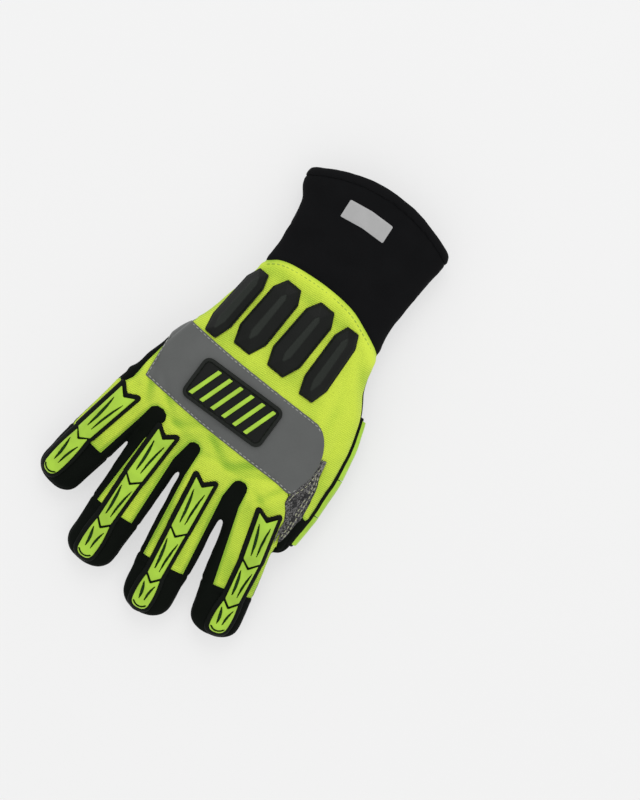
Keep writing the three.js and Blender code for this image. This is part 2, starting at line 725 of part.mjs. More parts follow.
// Outline of the yellow back: the hand, a strip up each finger and the thumb's outer side.
function backOutline() {
  const outline = [
    new THREE.Vector2(-HAND_WIDTH, -CUFF_LENGTH),
    new THREE.Vector2(HAND_WIDTH, -CUFF_LENGTH),
    ...SIDE_WRAP.map(handPoint),
  ];
  const order = ['little', 'ring', 'middle', 'index'];
  for (const name of order) {
    const strip = STRIPS[name];
    const beyond = strip.end + STRIP_OVERLAP;
    outline.push(fingerPoint(name, name === 'little' ? 0 : STRIP_ROOT, strip.rightRoot));
    outline.push(fingerPoint(name, beyond, strip.rightEnd));
    outline.push(fingerPoint(name, beyond, strip.leftEnd));
    outline.push(fingerPoint(name, STRIP_ROOT, strip.leftRoot));
    const foot = FOURCHETTES.find((row) => row.second === name);
    if (foot) {
      outline.push(...fourchetteFoot(foot).reverse());
    }
  }
  outline.push(thumbPoint(THUMB_CROTCH, 0.5));
  outline.push(thumbPoint(THUMB_TIP_START - 0.02, THUMB_EDGE_STRIP + 0.3));
  outline.push(thumbPoint(THUMB_TIP_START, THUMB_EDGE_STRIP));
  outline.push(thumbPoint(THUMB_YELLOW_END, THUMB_EDGE_STRIP));
  outline.push(thumbPoint(THUMB_YELLOW_END, -BESIDE_THUMB));
  return outline;
}

function thumbTipOutline(gap) {
  const start = THUMB_TIP_START + gap / THUMB_LENGTH;
  const end = THUMB_YELLOW_END + gap / THUMB_LENGTH;
  const edge = THUMB_EDGE_STRIP + gap / THUMB_WIDTH;
  return [
    thumbPoint(start, edge),
    thumbPoint(start, 1),
    thumbPoint(BEYOND_THUMB_TIP, 1),
    thumbPoint(BEYOND_THUMB_TIP, -BESIDE_THUMB),
    thumbPoint(end, -BESIDE_THUMB),
    thumbPoint(end, edge),
  ];
}

// Outline between two fingers, from one middle line to the other.
function betweenFingers({ first, second }) {
  return [
    fingerPoint(first, -2 * STRIP_ROOT, 0),
    fingerPoint(second, -2 * STRIP_ROOT, 0),
    fingerPoint(second, STRIPS[second].end + STRIP_OVERLAP / 2, 0),
    fingerPoint(first, STRIPS[first].end + STRIP_OVERLAP / 2, 0),
  ];
}

// The cloth shell, cut into its panels.
function addPanels() {
  const half = PANEL_GAP / 2;
  const shell = glove(0).subtract(glove(-WALL));
  const cuffSide = shell.intersect(planPrism(cuffOutline(-half)));
  addPiece('cuff', cuffSide.subtract(planPrism(hemOutline(HEM_WIDTH + half))), 'neoprene');
  const hemShell = glove(HEM_PROUD).subtract(glove(-WALL));
  addPiece('cuff_hem', hemShell.intersect(planPrism(hemOutline(HEM_WIDTH - half))), 'neoprene');

  let rest = shell.subtract(planPrism(cuffOutline(half)));
  for (const name of Object.keys(FINGERS)) {
    addPiece(`fingertip_${name}`, rest.intersect(planPrism(fingertipOutline(name, half))), 'black');
    rest = rest.subtract(planPrism(fingertipOutline(name, -half)));
  }
  const aroundThumb = thumb(half);
  addPiece('thumb_tip', rest.intersect(planPrism(thumbTipOutline(half))).intersect(aroundThumb), 'black');
  rest = rest.subtract(planPrism(thumbTipOutline(-half)).intersect(aroundThumb));

  const back = backOutline();
  const backPrism = planPrism(offsetOutline(back, -half));
  const backPrismWide = planPrism(offsetOutline(back, half));
  addPiece('back_panel', rest.intersect(aboveSeam).intersect(backPrism), 'knit');
  const upper = rest.intersect(aboveSeam).subtract(backPrismWide);
  const wedges = FOURCHETTES.map((row) => planPrism(betweenFingers(row)));
  FOURCHETTES.forEach((row, index) => {
    addPiece(`fourchette_${row.first}_${row.second}`, upper.intersect(wedges[index]), 'black');
  });
  const removed = aboveSeamWide.intersect(joinAll([backPrismWide, ...wedges]));
  addPiece('palm_panel', rest.subtract(removed), 'black');
}

// Band, plate and ribs on the back of the hand.
function bandOutline() {
  const half = new THREE.Vector2(0, BAND_WIDTH / 2);
  const line = BAND_LINE.map(handPoint);
  const top = line.slice(1).map((point) => point.clone().add(half));
  const bottom = line.slice(1).map((point) => point.clone().sub(half));
  const end = line[0];
  const nose = BAND_NOSE.map((row) => new THREE.Vector2(
    mix(end.x, bottom[0].x, row.out),
    end.y + BAND_WIDTH * row.along,
  ));
  return [...bottom, ...top.reverse(), ...nose.reverse()];
}

function roundedBox(length, width, radius) {
  const shape = new THREE.Shape();
  const x = length / 2;
  const y = width / 2;
  shape.absarc(x - radius, y - radius, radius, 0, Math.PI / 2);
  shape.absarc(-x + radius, y - radius, radius, Math.PI / 2, Math.PI);
  shape.absarc(-x + radius, -y + radius, radius, Math.PI, 1.5 * Math.PI);
  shape.absarc(x - radius, -y + radius, radius, 1.5 * Math.PI, 2 * Math.PI);
  return shape.getPoints(2).slice(0, -1);
}

function placeOutline(outline, centre, degrees) {
  const origin = new THREE.Vector2(0, 0);
  return outline.map((point) => point.clone().rotateAround(origin, radians(degrees)).add(centre));
}

function addPlate() {
  const centre = handPoint(PLATE_PLACE);
  const { turn } = PLATE_PLACE;
  const seat = SEAT_GAP + BAND_THICKNESS + SEAT_GAP;
  const floor = seat + PLATE_THICKNESS - PLATE_RECESS;
  const outer = placeOutline(roundedBox(PLATE_LENGTH, PLATE_WIDTH, PLATE_CORNER), centre, turn);
  const innerLength = PLATE_LENGTH - 2 * PLATE_RIM;
  const innerWidth = PLATE_WIDTH - 2 * PLATE_RIM;
  const innerCorner = PLATE_CORNER - PLATE_RIM / 2;
  const inner = placeOutline(roundedBox(innerLength, innerWidth, innerCorner), centre, turn);
  const recess = planPrism(inner).subtract(glove(floor));
  const slab = layer(outer, seat, seat + PLATE_THICKNESS).intersect(aboveSeam);
  addPiece('knuckle_plate', slab.subtract(recess), 'rubber');

  const pitch = innerLength / (PLATE_BAR_COUNT + PLATE_BAR_MARGIN);
  const reach = innerWidth / 2 - PLATE_BAR_WIDTH / 2;
  const slope = PLATE_BAR_SLOPE * innerWidth;
  for (let bar = 0; bar < PLATE_BAR_COUNT; bar += 1) {
    const middle = (bar - (PLATE_BAR_COUNT - 1) / 2) * pitch;
    const half = PLATE_BAR_WIDTH / 2;
    const outline = [
      new THREE.Vector2(middle - slope / 2 - half, -reach),
      new THREE.Vector2(middle - slope / 2 + half, -reach),
      new THREE.Vector2(middle + slope / 2 + half, reach),
      new THREE.Vector2(middle + slope / 2 - half, reach),
    ];
    const placed = placeOutline(outline, centre, turn);
    const low = floor + SEAT_GAP;
    const solid = layer(placed, low, seat + PLATE_THICKNESS + SEAT_GAP).intersect(aboveSeam);
    addPiece(`plate_bar_${bar + 1}`, solid, 'lime');
  }
}

// Height of the glove's upper surface over a point in plan.
const surface = new THREE.Mesh(toGeometry(glove(0)), new THREE.MeshBasicMaterial());
const down = new THREE.Vector3(0, 0, -1);

function surfaceHeight(point) {
  const ray = new THREE.Raycaster(new THREE.Vector3(point.x, point.y, 3 * HAND_DEPTH), down);
  const hits = ray.intersectObject(surface);
  return hits.length > 0 ? hits[0].point.z : CLOTH_LEVEL;
}

function addRibs() {
  RIBS.forEach((rib, index) => {
    const centre = handPoint(rib);
    const halfWidth = (RIB_WIDTH * rib.width) / 2;
    const right = RIB_OUTLINE.map((row) => (
      new THREE.Vector2(row.out * halfWidth, row.along * RIB_LENGTH)
    ));
    const left = [...right].reverse().map((point) => new THREE.Vector2(-point.x, point.y));
    const outline = placeOutline([...right, ...left], centre, -rib.lean);
    const rings = RIB_LEVELS.map((level) => {
      const inset = offsetOutline(outline, -level.inset * halfWidth);
      return inset.map((point) => new THREE.Vector3(
        point.x,
        point.y,
        surfaceHeight(point) + level.height * RIB_HEIGHT,
      )).reverse();
    });
    const rib3d = loft(rings).subtract(glove(SEAT_GAP)).intersect(aboveSeam);
    addPiece(`hand_rib_${index + 1}`, rib3d, 'rubber');
  });
}

// A point on a guard: its middle line runs from one side of the finger's middle to the other.
function guardPoint(name, along, out) {
  const guard = GUARDS[name];
  const share = (along - guard.start) / (guard.end - guard.start);
  const side = mix(guard.sideRoot, guard.sideTip, share);
  return fingerPoint(name, along, side + out / FINGERS[name].width);
}

// Half width of a guard at a share of its finger's length.
function guardHalf(name, along) {
  const { start, joints, end } = GUARDS[name];
  const lastJoint = joints[joints.length - 1];
  const barrel = (lastJoint + end) / 2;
  const marks = [start, joints[0], lastJoint, barrel, end];
  const widths = [
    GUARD_START_WIDTH,
    GUARD_JOINT_WIDTH,
    GUARD_JOINT_WIDTH,
    GUARD_TIP_WIDTH,
    GUARD_TIP_WIDTH,
  ];
  let share = widths[widths.length - 1];
  for (let mark = 1; mark < marks.length; mark += 1) {
    if (along <= marks[mark] && marks[mark] > marks[mark - 1]) {
      const way = (along - marks[mark - 1]) / (marks[mark] - marks[mark - 1]);
      share = mix(widths[mark - 1], widths[mark], Math.max(way, 0));
      break;
    }
  }
  return (share * GUARD_WIDTH) / 2;
}

// Outline of a stretch of guard, notched at its start, and pointed or round at its end.
function guardOutline(name, start, end, inset, pointed) {
  const { length } = FINGERS[name];
  const notch = GUARD_NOTCH / length;
  const half = (along) => guardHalf(name, along) - inset;
  const sides = [start, mix(start, end, 0.5)];
  const nose = [];
  if (pointed) {
    sides.push(end);
    nose.push(guardPoint(name, end + notch, 0));
  } else {
    sides.push(end - GUARD_ROUND);
    for (const row of GUARD_END) {
      nose.push(guardPoint(name, end - GUARD_ROUND * row.back, row.out * half(end)));
    }
  }
  const right = sides.map((along) => guardPoint(name, along, half(along)));
  const left = sides.map((along) => guardPoint(name, along, -half(along))).reverse();
  return [guardPoint(name, start + notch, 0), ...right, ...nose, ...left];
}

function addGuards() {
  const baseTop = SEAT_GAP + GUARD_BASE;
  const low = baseTop + SEAT_GAP;
  const high = baseTop + GUARD_HEIGHT;
  for (const [name, guard] of Object.entries(GUARDS)) {
    const { length } = FINGERS[name];
    const base = guardOutline(name, guard.start, guard.end, 0, false);
    addPiece(`guard_base_${name}`, layer(base, SEAT_GAP, baseTop).intersect(aboveSeam), 'rubber');
    const rim = GUARD_RIM / length;
    const slit = GUARD_SLIT / length / 2;
    const stops = [guard.start + rim - slit, ...guard.joints, guard.end - rim + slit];
    for (let part = 0; part < stops.length - 1; part += 1) {
      const last = part === stops.length - 2;
      const from = stops[part] + slit;
      const outline = guardOutline(name, from, stops[part + 1] - slit, GUARD_RIM, !last);
      addPiece(`guard_${name}_${part + 1}`, layer(outline, low, high).intersect(aboveSeam), 'lime');
    }
  }
}

// The thumb's guard lies along its outer side and shows from above as a narrow strip.
function thumbGuardOutline(inset) {
  const { start, end, inner } = THUMB_GUARD;
  const side = inner - inset / THUMB_WIDTH;
  const trim = inset / THUMB_LENGTH;
  return [
    thumbPoint(start + trim, -BESIDE_THUMB),
    thumbPoint(start + trim, side),
    thumbPoint(mix(start, end, 0.25), side),
    thumbPoint(mix(start, end, 0.5), side),
    thumbPoint(mix(start, end, 0.75), side),
    thumbPoint(end - trim, side),
    thumbPoint(end - trim, -BESIDE_THUMB),
  ];
}

function addThumbGuard() {
  const baseTop = SEAT_GAP + GUARD_BASE;
  const level = CLOTH_LEVEL + THUMB_GUARD.level * THUMB_DEPTH;
  const strip = (inset, low, high) => layer(thumbGuardOutline(inset), low, high)
    .intersect(planPrism(thumbGuardOutline(inset), level + inset));
  addPiece('guard_base_thumb', strip(0, SEAT_GAP, baseTop), 'rubber');
  const high = baseTop + GUARD_HEIGHT * THUMB_GUARD.height;
  addPiece('guard_thumb', strip(GUARD_RIM * THUMB_GUARD.rim, baseTop + SEAT_GAP, high), 'lime');
}

// Grip patches: thin skins below the cloth, flat where they stand on the table.
const everywhere = 3 * (HAND_WIDTH + HAND_LENGTH);
const table = planPrism([
  new THREE.Vector2(-everywhere, -everywhere),
  new THREE.Vector2(everywhere, -everywhere),
  new THREE.Vector2(everywhere, everywhere),
  new THREE.Vector2(-everywhere, everywhere),
], 0);

const patchBottom = SEAT_GAP + PATCH_THICKNESS * PATCH_SPARE;
const handWithPatch = hand(patchBottom)
  .subtract(glove(SEAT_GAP))
  .subtract(thumb(patchBottom + SEAT_GAP));

function patch(outline) {
  return handWithPatch.intersect(planPrism(outline)).intersect(table);
}

function crotchHoles() {
  return joinAll(FOURCHETTES.map(({ first, second }) => {
    const left = fingerPoint(first, CROTCH, 0.5);
    const right = fingerPoint(second, CROTCH, -0.5);
    const centre = left.add(right).multiplyScalar(0.5);
    const round = new THREE.Shape().absarc(centre.x, centre.y, PATCH_HOLE, 0, 2 * Math.PI);
    return planPrism(round.getPoints(5).slice(0, -1));
  }));
}

function fingerPatchSides(name, start, end) {
  const right = [fingerPoint(name, start, PATCH_HALF), fingerPoint(name, end, PATCH_HALF)];
  const left = [fingerPoint(name, end, -PATCH_HALF), fingerPoint(name, start, -PATCH_HALF)];
  return [...right, ...left];
}

function addPalmPatches() {
  const under = (solid) => solid.intersect(belowSeam);
  const upper = UPPER_PATCH_LEFT.map(handPoint);
  for (const name of ['little', 'ring', 'middle']) {
    upper.push(...fingerPatchSides(name, PATCH_ROOT, PATCH_BREAK.start));
  }
  const holes = crotchHoles();
  addPiece('palm_patch_upper', under(patch(upper).subtract(holes)), 'grip');
  addPiece('palm_patch_middle', under(patch(MIDDLE_PATCH.map(handPoint))), 'grip');
  addPiece('palm_patch_lower', under(patch(LOWER_PATCH.map(handPoint))), 'grip');
  const index = [
    ...INDEX_PATCH_LEFT.map(handPoint),
    ...fingerPatchSides('index', PATCH_ROOT, PATCH_BREAK.start),
    ...INDEX_PATCH_RIGHT.map(handPoint),
  ];
  addPiece('palm_patch_index', under(patch(index).subtract(holes)), 'grip');
  for (const name of Object.keys(FINGERS)) {
    const sides = fingerPatchSides(name, PATCH_BREAK.end, PATCH_END - PATCH_ROUND);
    const tip = [
      ...sides.slice(0, 2),
      fingerPoint(name, PATCH_END, PATCH_END_WIDTH * PATCH_HALF),
      fingerPoint(name, PATCH_END, -PATCH_END_WIDTH * PATCH_HALF),
      ...sides.slice(2),
    ];
    addPiece(`tip_patch_${name}`, under(patch(tip)), 'grip');
  }
}

// The thumb's patch goes from below round the side that faces the hand and shows from above.
function addThumbPatch() {
  const { start, end, beyond } = THUMB_PATCH;
  const strip = (side) => [
    thumbPoint(start, side),
    thumbPoint(start, beyond),
    thumbPoint(end, beyond),
    thumbPoint(end, side),
    thumbPoint(mix(start, end, 0.7), side),
    thumbPoint(mix(start, end, 0.35), side),
  ];
  const middle = CLOTH_LEVEL + THUMB_DEPTH / 2;
  const bare = THUMB_CROTCH * (HAND_LENGTH / THUMB_LENGTH) - THUMB_ROOT.along;
  const above = planPrism(strip(THUMB_PATCH_TOP), middle).subtract(planPrism([
    thumbPoint(0, -BESIDE_THUMB),
    thumbPoint(0, BESIDE_THUMB),
    thumbPoint(bare, BESIDE_THUMB),
    thumbPoint(bare, -BESIDE_THUMB),
  ]));
  const below = planPrism(strip(THUMB_PATCH_UNDER), -HAND_DEPTH, middle);
  const { start: guardStart, end: guardEnd } = GUARDS.index;
  const besideGuard = offsetOutline(guardOutline('index', guardStart, guardEnd, 0, false), SEAT_GAP);
  const thumbSkin = thumb(SEAT_GAP + PATCH_THICKNESS)
    .subtract(glove(SEAT_GAP))
    .subtract(planPrism(besideGuard, middle));
  addPiece('thumb_patch', thumbSkin.intersect(above.add(below)).intersect(table), 'grip');
}

// Label, tag and pull tab on the cuff.
function addCuffTrim() {
  const box = (length, width) => roundedBox(length, width, TRIM_CORNER);
  const labelCentre = cuffPoint(LABEL_PLACE);
  const label = placeOutline(box(LABEL_LENGTH, LABEL_WIDTH), labelCentre, LABEL_PLACE.turn);
  const labelTop = SEAT_GAP + LABEL_THICKNESS;
  addPiece('cuff_label', layer(label, SEAT_GAP, labelTop).intersect(aboveSeam), 'label');
  const tabCentre = cuffPoint(TAB_PLACE).add(new THREE.Vector2(0, TAB_LENGTH / 2));
  const tab = placeOutline(box(TAB_WIDTH, TAB_LENGTH), tabCentre, 0);
  const tagCentre = new THREE.Vector2(
    TAG_ACROSS * CUFF_WIDTH,
    tabCentre.y + TAB_LENGTH / 2 + TAG_CLEARANCE + TAG_LENGTH / 2,
  );
  const tag = placeOutline(box(TAG_WIDTH, TAG_LENGTH), tagCentre, 0);
  const tagSkin = layer(tag, SEAT_GAP, SEAT_GAP + TAG_THICKNESS);
  addPiece('cuff_tag', tagSkin.intersect(belowSeam), 'rubber');
  const tabLow = HEM_PROUD + SEAT_GAP;
  addPiece('pull_tab', layer(tab, tabLow, tabLow + TAB_THICKNESS).intersect(belowSeam), 'neoprene');
}

addPanels();
addPiece(
  'reflective_band',
  layer(bandOutline(), SEAT_GAP, SEAT_GAP + BAND_THICKNESS).intersect(aboveSeam),
  'reflective',
);
addPlate();
addRibs();
addGuards();
addThumbGuard();
addPalmPatches();
addThumbPatch();
addCuffTrim();

// The origin is under the middle of the glove, on the table.
const box = new THREE.Box3().setFromObject(group);
group.position.set(
  -(box.min.x + box.max.x) / 2,
  -(box.min.y + box.max.y) / 2,
  -box.min.z,
);

export default group;
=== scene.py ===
"""Looks of an impact glove for the right hand, lying palm down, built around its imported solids."""

import functools
import math

import bmesh
import bpy
import numpy as np
from mathutils import Matrix, Vector, noise
from mathutils.bvhtree import BVHTree


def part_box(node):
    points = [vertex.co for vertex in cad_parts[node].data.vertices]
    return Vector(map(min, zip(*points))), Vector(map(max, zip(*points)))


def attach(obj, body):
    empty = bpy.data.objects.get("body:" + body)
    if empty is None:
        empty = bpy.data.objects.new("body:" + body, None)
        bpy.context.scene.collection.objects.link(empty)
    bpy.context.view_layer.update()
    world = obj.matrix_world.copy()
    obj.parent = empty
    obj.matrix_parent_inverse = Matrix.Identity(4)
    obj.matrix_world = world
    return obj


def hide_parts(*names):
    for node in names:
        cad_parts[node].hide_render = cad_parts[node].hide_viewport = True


bl_info = {
    "name": "Impact glove",
    "version": (1, 0, 0),
    "blender": (4, 5, 0),
    "location": "View3D > Sidebar > Glove",
    "description": "Sews and moulds an impact glove around its packed solids",
    "category": "Object",
}

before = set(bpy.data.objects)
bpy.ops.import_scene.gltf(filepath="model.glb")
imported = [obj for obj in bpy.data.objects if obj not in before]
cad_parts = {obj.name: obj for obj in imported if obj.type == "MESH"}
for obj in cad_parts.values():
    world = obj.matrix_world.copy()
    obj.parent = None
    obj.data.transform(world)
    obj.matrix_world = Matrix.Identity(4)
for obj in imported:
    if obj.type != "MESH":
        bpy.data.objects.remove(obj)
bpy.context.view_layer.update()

MM = 0.001
EVERYWHERE = 400.0  # millimetres, far outside the glove

# Sections of the cloth: squareness of their corners, and number of sides.
TRUNK_FORM = (2.5, 72)
FINGER_FORM = (2.3, 44)
TIP_SQUARENESS = 2.5
TIP_TURNS = (12, 24, 36, 47, 57, 66, 74, 80, 85)

# Cuff sections: along (share of the cuff's length, below the wrist crease), flare (share of the
# way from the wrist's width to the mouth's), shift (share of the mouth's width), bow (share of
# the hem's bow), lean, depth (share of the cuff's depth).
CUFF_SECTIONS = [
    (-1.0, 0.9, -0.043, 1.0, -0.05, 0.9),
    (-0.945, 1.05, -0.045, 1.0, -0.05, 1.0),
    (-0.86, 1.0, -0.045, 0.9, -0.05, 1.02),
    (-0.72, 0.55, -0.057, 0.55, -0.03, 1.0),
    (-0.5, 0.25, -0.052, 0.2, -0.02, 0.98),
    (-0.15, 0.0, -0.03, -0.1, 0.0, 1.02),
]
# Hand sections: along (share of the hand's length), spread (share of the way from the wrist's
# width to the hand's), shift (share of the hand's width), arch, swell (share of the way from the
# cuff's depth to the hand's), thin (share of that depth), lean.
HAND_SECTIONS = [
    (0.0, 0.065, -0.009, 0.1, 0.27, 1.0, 0.0),
    (0.18, 0.31, 0.008, 0.0, 0.66, 1.0, 0.0),
    (0.3, 0.51, 0.018, 0.0, 0.8, 1.0, 0.0),
    (0.45, 0.79, 0.047, 0.1, 1.0, 1.0, 0.0),
    (0.64, 0.95, 0.083, 0.38, 1.02, 0.99, -0.02),
    (0.82, 1.0, 0.113, 0.74, 1.0, 0.91, -0.15),
    (0.93, 1.04, 0.128, 0.95, 1.0, 0.77, -0.28),
    (1.12, 0.5, 0.126, 1.5, 1.0, 0.36, -0.346),
]
# Finger sections: along (share of the finger's length), width, arch, depth (shares).
FINGER_SECTIONS = [
    (-0.18, 0.7, 1.4, 0.8),
    (0.0, 0.97, 1.0, 1.15),
    (0.17, 1.005, 1.0, 1.08),
    (0.4, 1.015, 0.85, 1.02),
    (0.64, 1.0, 0.5, 0.99),
    (0.84, 0.97, 0.08, 0.94),
]
# Each finger: root across (share of the hand's width), root along (share of the hand's length),
# splay in degrees towards the little finger, and the sizes that it takes.
FINGERS = {
    "index": (-0.234, 1.0, -8.1, "index_length", "finger_width"),
    "middle": (0.04, 1.0, -2.0, "middle_length", "finger_width"),
    "ring": (0.309, 0.955, 5.2, "ring_length", "finger_width"),
    "little": (0.529, 0.845, 16.1, "little_length", "little_width"),
}
# Thumb sections: along (share of the thumb's length), shift (share of its width to the side),
# width, rise (share of the cloth's level), depth.
THUMB_ROOT = (-0.27, 0.2)
THUMB_SECTIONS = [
    (0.0, 0.0, 1.1, 0.4, 1.1),
    (0.15, -0.42, 1.14, 0.2, 1.12),
    (0.34, -0.77, 1.03, 0.0, 1.07),
    (0.54, -0.86, 1.0, 0.0, 1.0),
    (0.76, -0.79, 0.98, 0.0, 0.95),
    (0.9, -0.68, 0.94, 0.0, 0.86),
]
THUMB_CROTCH = 0.69
# Side seam between back and palm: share of the hand's length, share of the hand's depth.
SIDE_SEAM = [
    (-1.0, 0.45),
    (0.0, 0.47),
    (0.3, 0.52),
    (0.6, 0.58),
    (0.82, 0.59),
    (1.0, 0.55),
    (1.27, 0.5),
    (1.43, 0.45),
    (1.6, 0.38),
    (2.2, 0.3),
]
# Lines over the hand: shares of the hand's width and length.
WRIST_SEAM = [
    (-0.7, 0.24),
    (-0.42, 0.115),
    (-0.34, 0.05),
    (-0.25, -0.01),
    (-0.15, -0.065),
    (0.0, -0.1),
    (0.16, -0.112),
    (0.26, -0.102),
    (0.34, -0.06),
    (0.6, 0.05),
]
SIDE_WRAP = [
    (0.6, 0.2),
    (0.49, 0.34),
    (0.487, 0.4),
    (0.53, 0.54),
    (0.565, 0.68),
    (0.59, 0.8),
    (0.63, 0.85),
]
# Yellow strip on each finger: left root, left end, right root, right end (shares of the finger's
# width), and its end (share of the finger's length).
STRIP_ROOT = 0.12
STRIPS = {
    "index": (-0.7, -0.7, 0.34, 0.25, 0.66),
    "middle": (-0.37, -0.4, 0.4, 0.41, 0.66),
    "ring": (-0.33, -0.38, 0.3, 0.38, 0.61),
    "little": (-0.38, -0.33, 0.7, 0.7, 0.55),
}
# Foot of each black fourchette: its fingers, shift and drop (shares of the hand's length), and
# half width (share of the finger's width).
FOURCHETTES = [
    ("index", "middle", -0.018, 0.02, 0.15),
    ("middle", "ring", -0.007, 0.05, 0.13),
    ("ring", "little", -0.02, 0.04, 0.19),
]
# Guards: where each segment starts and the last one ends (shares of the finger's length), and
# how far the guard stands to the side at each of them (shares of the finger's width).
GUARDS = {
    "index": ((0.09, 0.426, 0.72, 0.965), (-0.22, -0.235, -0.17, -0.09)),
    "middle": ((0.08, 0.425, 0.745, 0.975), (0.02, 0.03, 0.045, 0.05)),
    "ring": ((0.0, 0.356, 0.692, 0.97), (0.01, 0.045, 0.04, 0.015)),
    "little": ((0.05, 0.53, 0.96), (0.12, 0.18, 0.16)),
}
GUARD_SINK = 0.25  # millimetres that a base sits in the cloth
# Width of a segment at its start and end (shares of the guard's width): the first one, the ones
# between, and the last one, which bulges between its ends.
SEGMENT_WIDTHS = [(1.0, 0.91), (0.87, 0.77), (0.77, 0.84)]
SEGMENT_BULGE = 0.17
SEGMENT_STEPS = 7
# The round nose of the last segment: where it starts (share of the segment), the turns of its
# points in degrees, and how round it is.
NOSE_START = 0.72
NOSE_TURNS = (22, 44, 64, 82, 98, 116, 136, 158)
NOSE_ROUNDNESS = 0.8
# The two grooves of a segment: where they start and end (shares of the segment), and how far they
# are from its middle (share of the way along a groove, millimetres).
GROOVE_START = 0.24
GROOVE_END = 0.88
GROOVE_AWAY = [(0.0, 3.5), (0.3, 2.5), (0.65, 1.8), (1.0, 1.6)]
INNER_GROOVE = 0.75  # width of the groove on the thumb's side, share of the other one's
# The arc on the last segment, in millimetres: its centre before the end, radius, half width, and
# where it starts beyond the centre.
ARC = (6.6, 4.7, 0.45, 2.6)
# Ribs: across, along, lean in degrees, width (share of the rib width).
RIBS = [
    (-0.19, 0.24, 5.5, 0.78),
    (-0.016, 0.2, 9.8, 0.98),
    (0.174, 0.185, 9.8, 0.97),
    (0.337, 0.2, 10.8, 0.68),
]
RIB_OUTLINE = [(0.5, -0.5), (0.94, -0.33), (1.0, 0.28), (0.58, 0.5)]
# A rib's foot: how far in from its edge, in millimetres, and share of its height. In millimetres
# too, the rib sits RIB_SINK in the cloth, its flat top is RIB_TOP wide on each side of its middle,
# and the edge of the top rises from a level, a share of the rib's height, over RIB_BREAK.
RIB_FOOT = [(0.0, 0.28), (0.7, 0.3), (1.3, 0.5), (1.9, 0.56)]
RIB_SINK = 0.3
RIB_TOP = 2.5
RIB_BREAK = 0.5
RIB_BREAK_LEVEL = 0.9
BAND_LINE = [(-0.36, 0.73), (-0.25, 0.715), (0.0, 0.677), (0.25, 0.634), (0.54, 0.57)]
BAND_NOSE = [
    (0.68, -0.522),
    (0.305, -0.454),
    (0.0, -0.324),
    (-0.2, -0.156),
    (-0.26, 0.017),
    (-0.206, 0.188),
    (0.0, 0.351),
    (0.21, 0.505),
]
PLATE_PLACE = (0.115, 0.655)
PLATE_TURN = -6.5
PLATE_SINK = 0.2  # millimetres that the plate sits in the band
PLATE_STEP = 0.5  # millimetres over which the field falls from the rim
PLATE_BARS = 6
PLATE_BAR_SINK = 0.2  # millimetres that a bar sits in the field
PLATE_BAR_SLOPE = 0.3  # share of the field's width
PLATE_ENDS = 0.6  # room at the two ends of the row of bars, in shares of their pitch
LABEL_PLACE = (-0.005, 0.715)
LABEL_TURN = -3.0
TAG_ACROSS = 0.02
TAB_PLACE = (-0.01, 0.985)
# Grip patches on the palm: shares of the hand's width and length.
LOWER_PATCH = [
    (-0.17, 0.01),
    (0.3, 0.02),
    (0.37, 0.14),
    (0.4, 0.22),
    (-0.31, 0.535),
    (-0.345, 0.45),
    (-0.34, 0.35),
    (-0.3, 0.22),
    (-0.22, 0.07),
]
MIDDLE_PATCH = [
    (-0.33, 0.6),
    (0.41, 0.27),
    (0.46, 0.36),
    (0.52, 0.58),
    (0.28, 0.62),
    (-0.33, 0.715),
]
UPPER_PATCH_LEFT = [
    (-0.17, 1.07),
    (-0.28, 1.03),
    (-0.315, 0.93),
    (-0.32, 0.77),
    (0.28, 0.66),
    (0.54, 0.62),
    (0.575, 0.76),
]
# Grip fabric between the thumb and the index finger, seen from above, and its inner seam.
GUSSET = [
    (-0.387, 0.662),
    (-0.384, 0.727),
    (-0.372, 0.83),
    (-0.338, 0.916),
    (-0.33, 0.965),
    (-0.357, 1.004),
    (-0.379, 1.067),
    (-0.397, 1.165),
    (-0.41, 1.172),
    (-0.424, 1.115),
    (-0.435, 1.032),
    (-0.446, 1.008),
    (-0.443, 0.925),
    (-0.436, 0.824),
    (-0.412, 0.745),
]
GUSSET_SEAM = [
    (-0.41, 0.77),
    (-0.424, 0.82),
    (-0.424, 0.92),
    (-0.421, 1.0),
    (-0.42, 1.08),
    (-0.411, 1.14),
]
INDEX_PATCH_LEFT = [(-0.34, 0.61), (-0.34, 0.93), (-0.31, 1.04)]
INDEX_PATCH_RIGHT = [(-0.37, 0.95), (-0.365, 0.62)]
PATCH_HALF = 0.37
PATCH_ROOT = 0.2
PATCH_BREAK = (0.575, 0.61)
PATCH_END = 0.975
# Round cut of a patch at a finger crotch: share of the finger's length, then its radius and the
# half width of the way into it, in millimetres.
CROTCH = (0.17, 6.0, 4.0)
# Rows of stitches, in millimetres: how far the band's row is in from its edge, how far the wrist's
# rows are above the seam on the back and on the palm, and where they start and end across.
BAND_STITCH_INSET = 1.1
WRIST_STITCHES = (2.7, -42, 37)
WRIST_STITCHES_PALM = (1.6, -34, 40)
# Stitches and dots of a grip patch: distances in from its edge, in millimetres.
PATCH_STITCH_ROWS = (1.3, 2.7)
DOT_MARGIN = 3.9
GUSSET_DOT_MARGIN = 2.2
GUSSET_HEIGHT = 1.1
# Parts of the thumb: shares of its length, and of its width to the side.
THUMB_TIP_START = 0.79
THUMB_YELLOW_END = 0.94
THUMB_EDGE_STRIP = -0.6
THUMB_OUTSIDE = -1.5
THUMB_PATCH = (0.3, 0.965)
THUMB_PATCH_TOP = -0.02
THUMB_PATCH_UNDER = -0.36
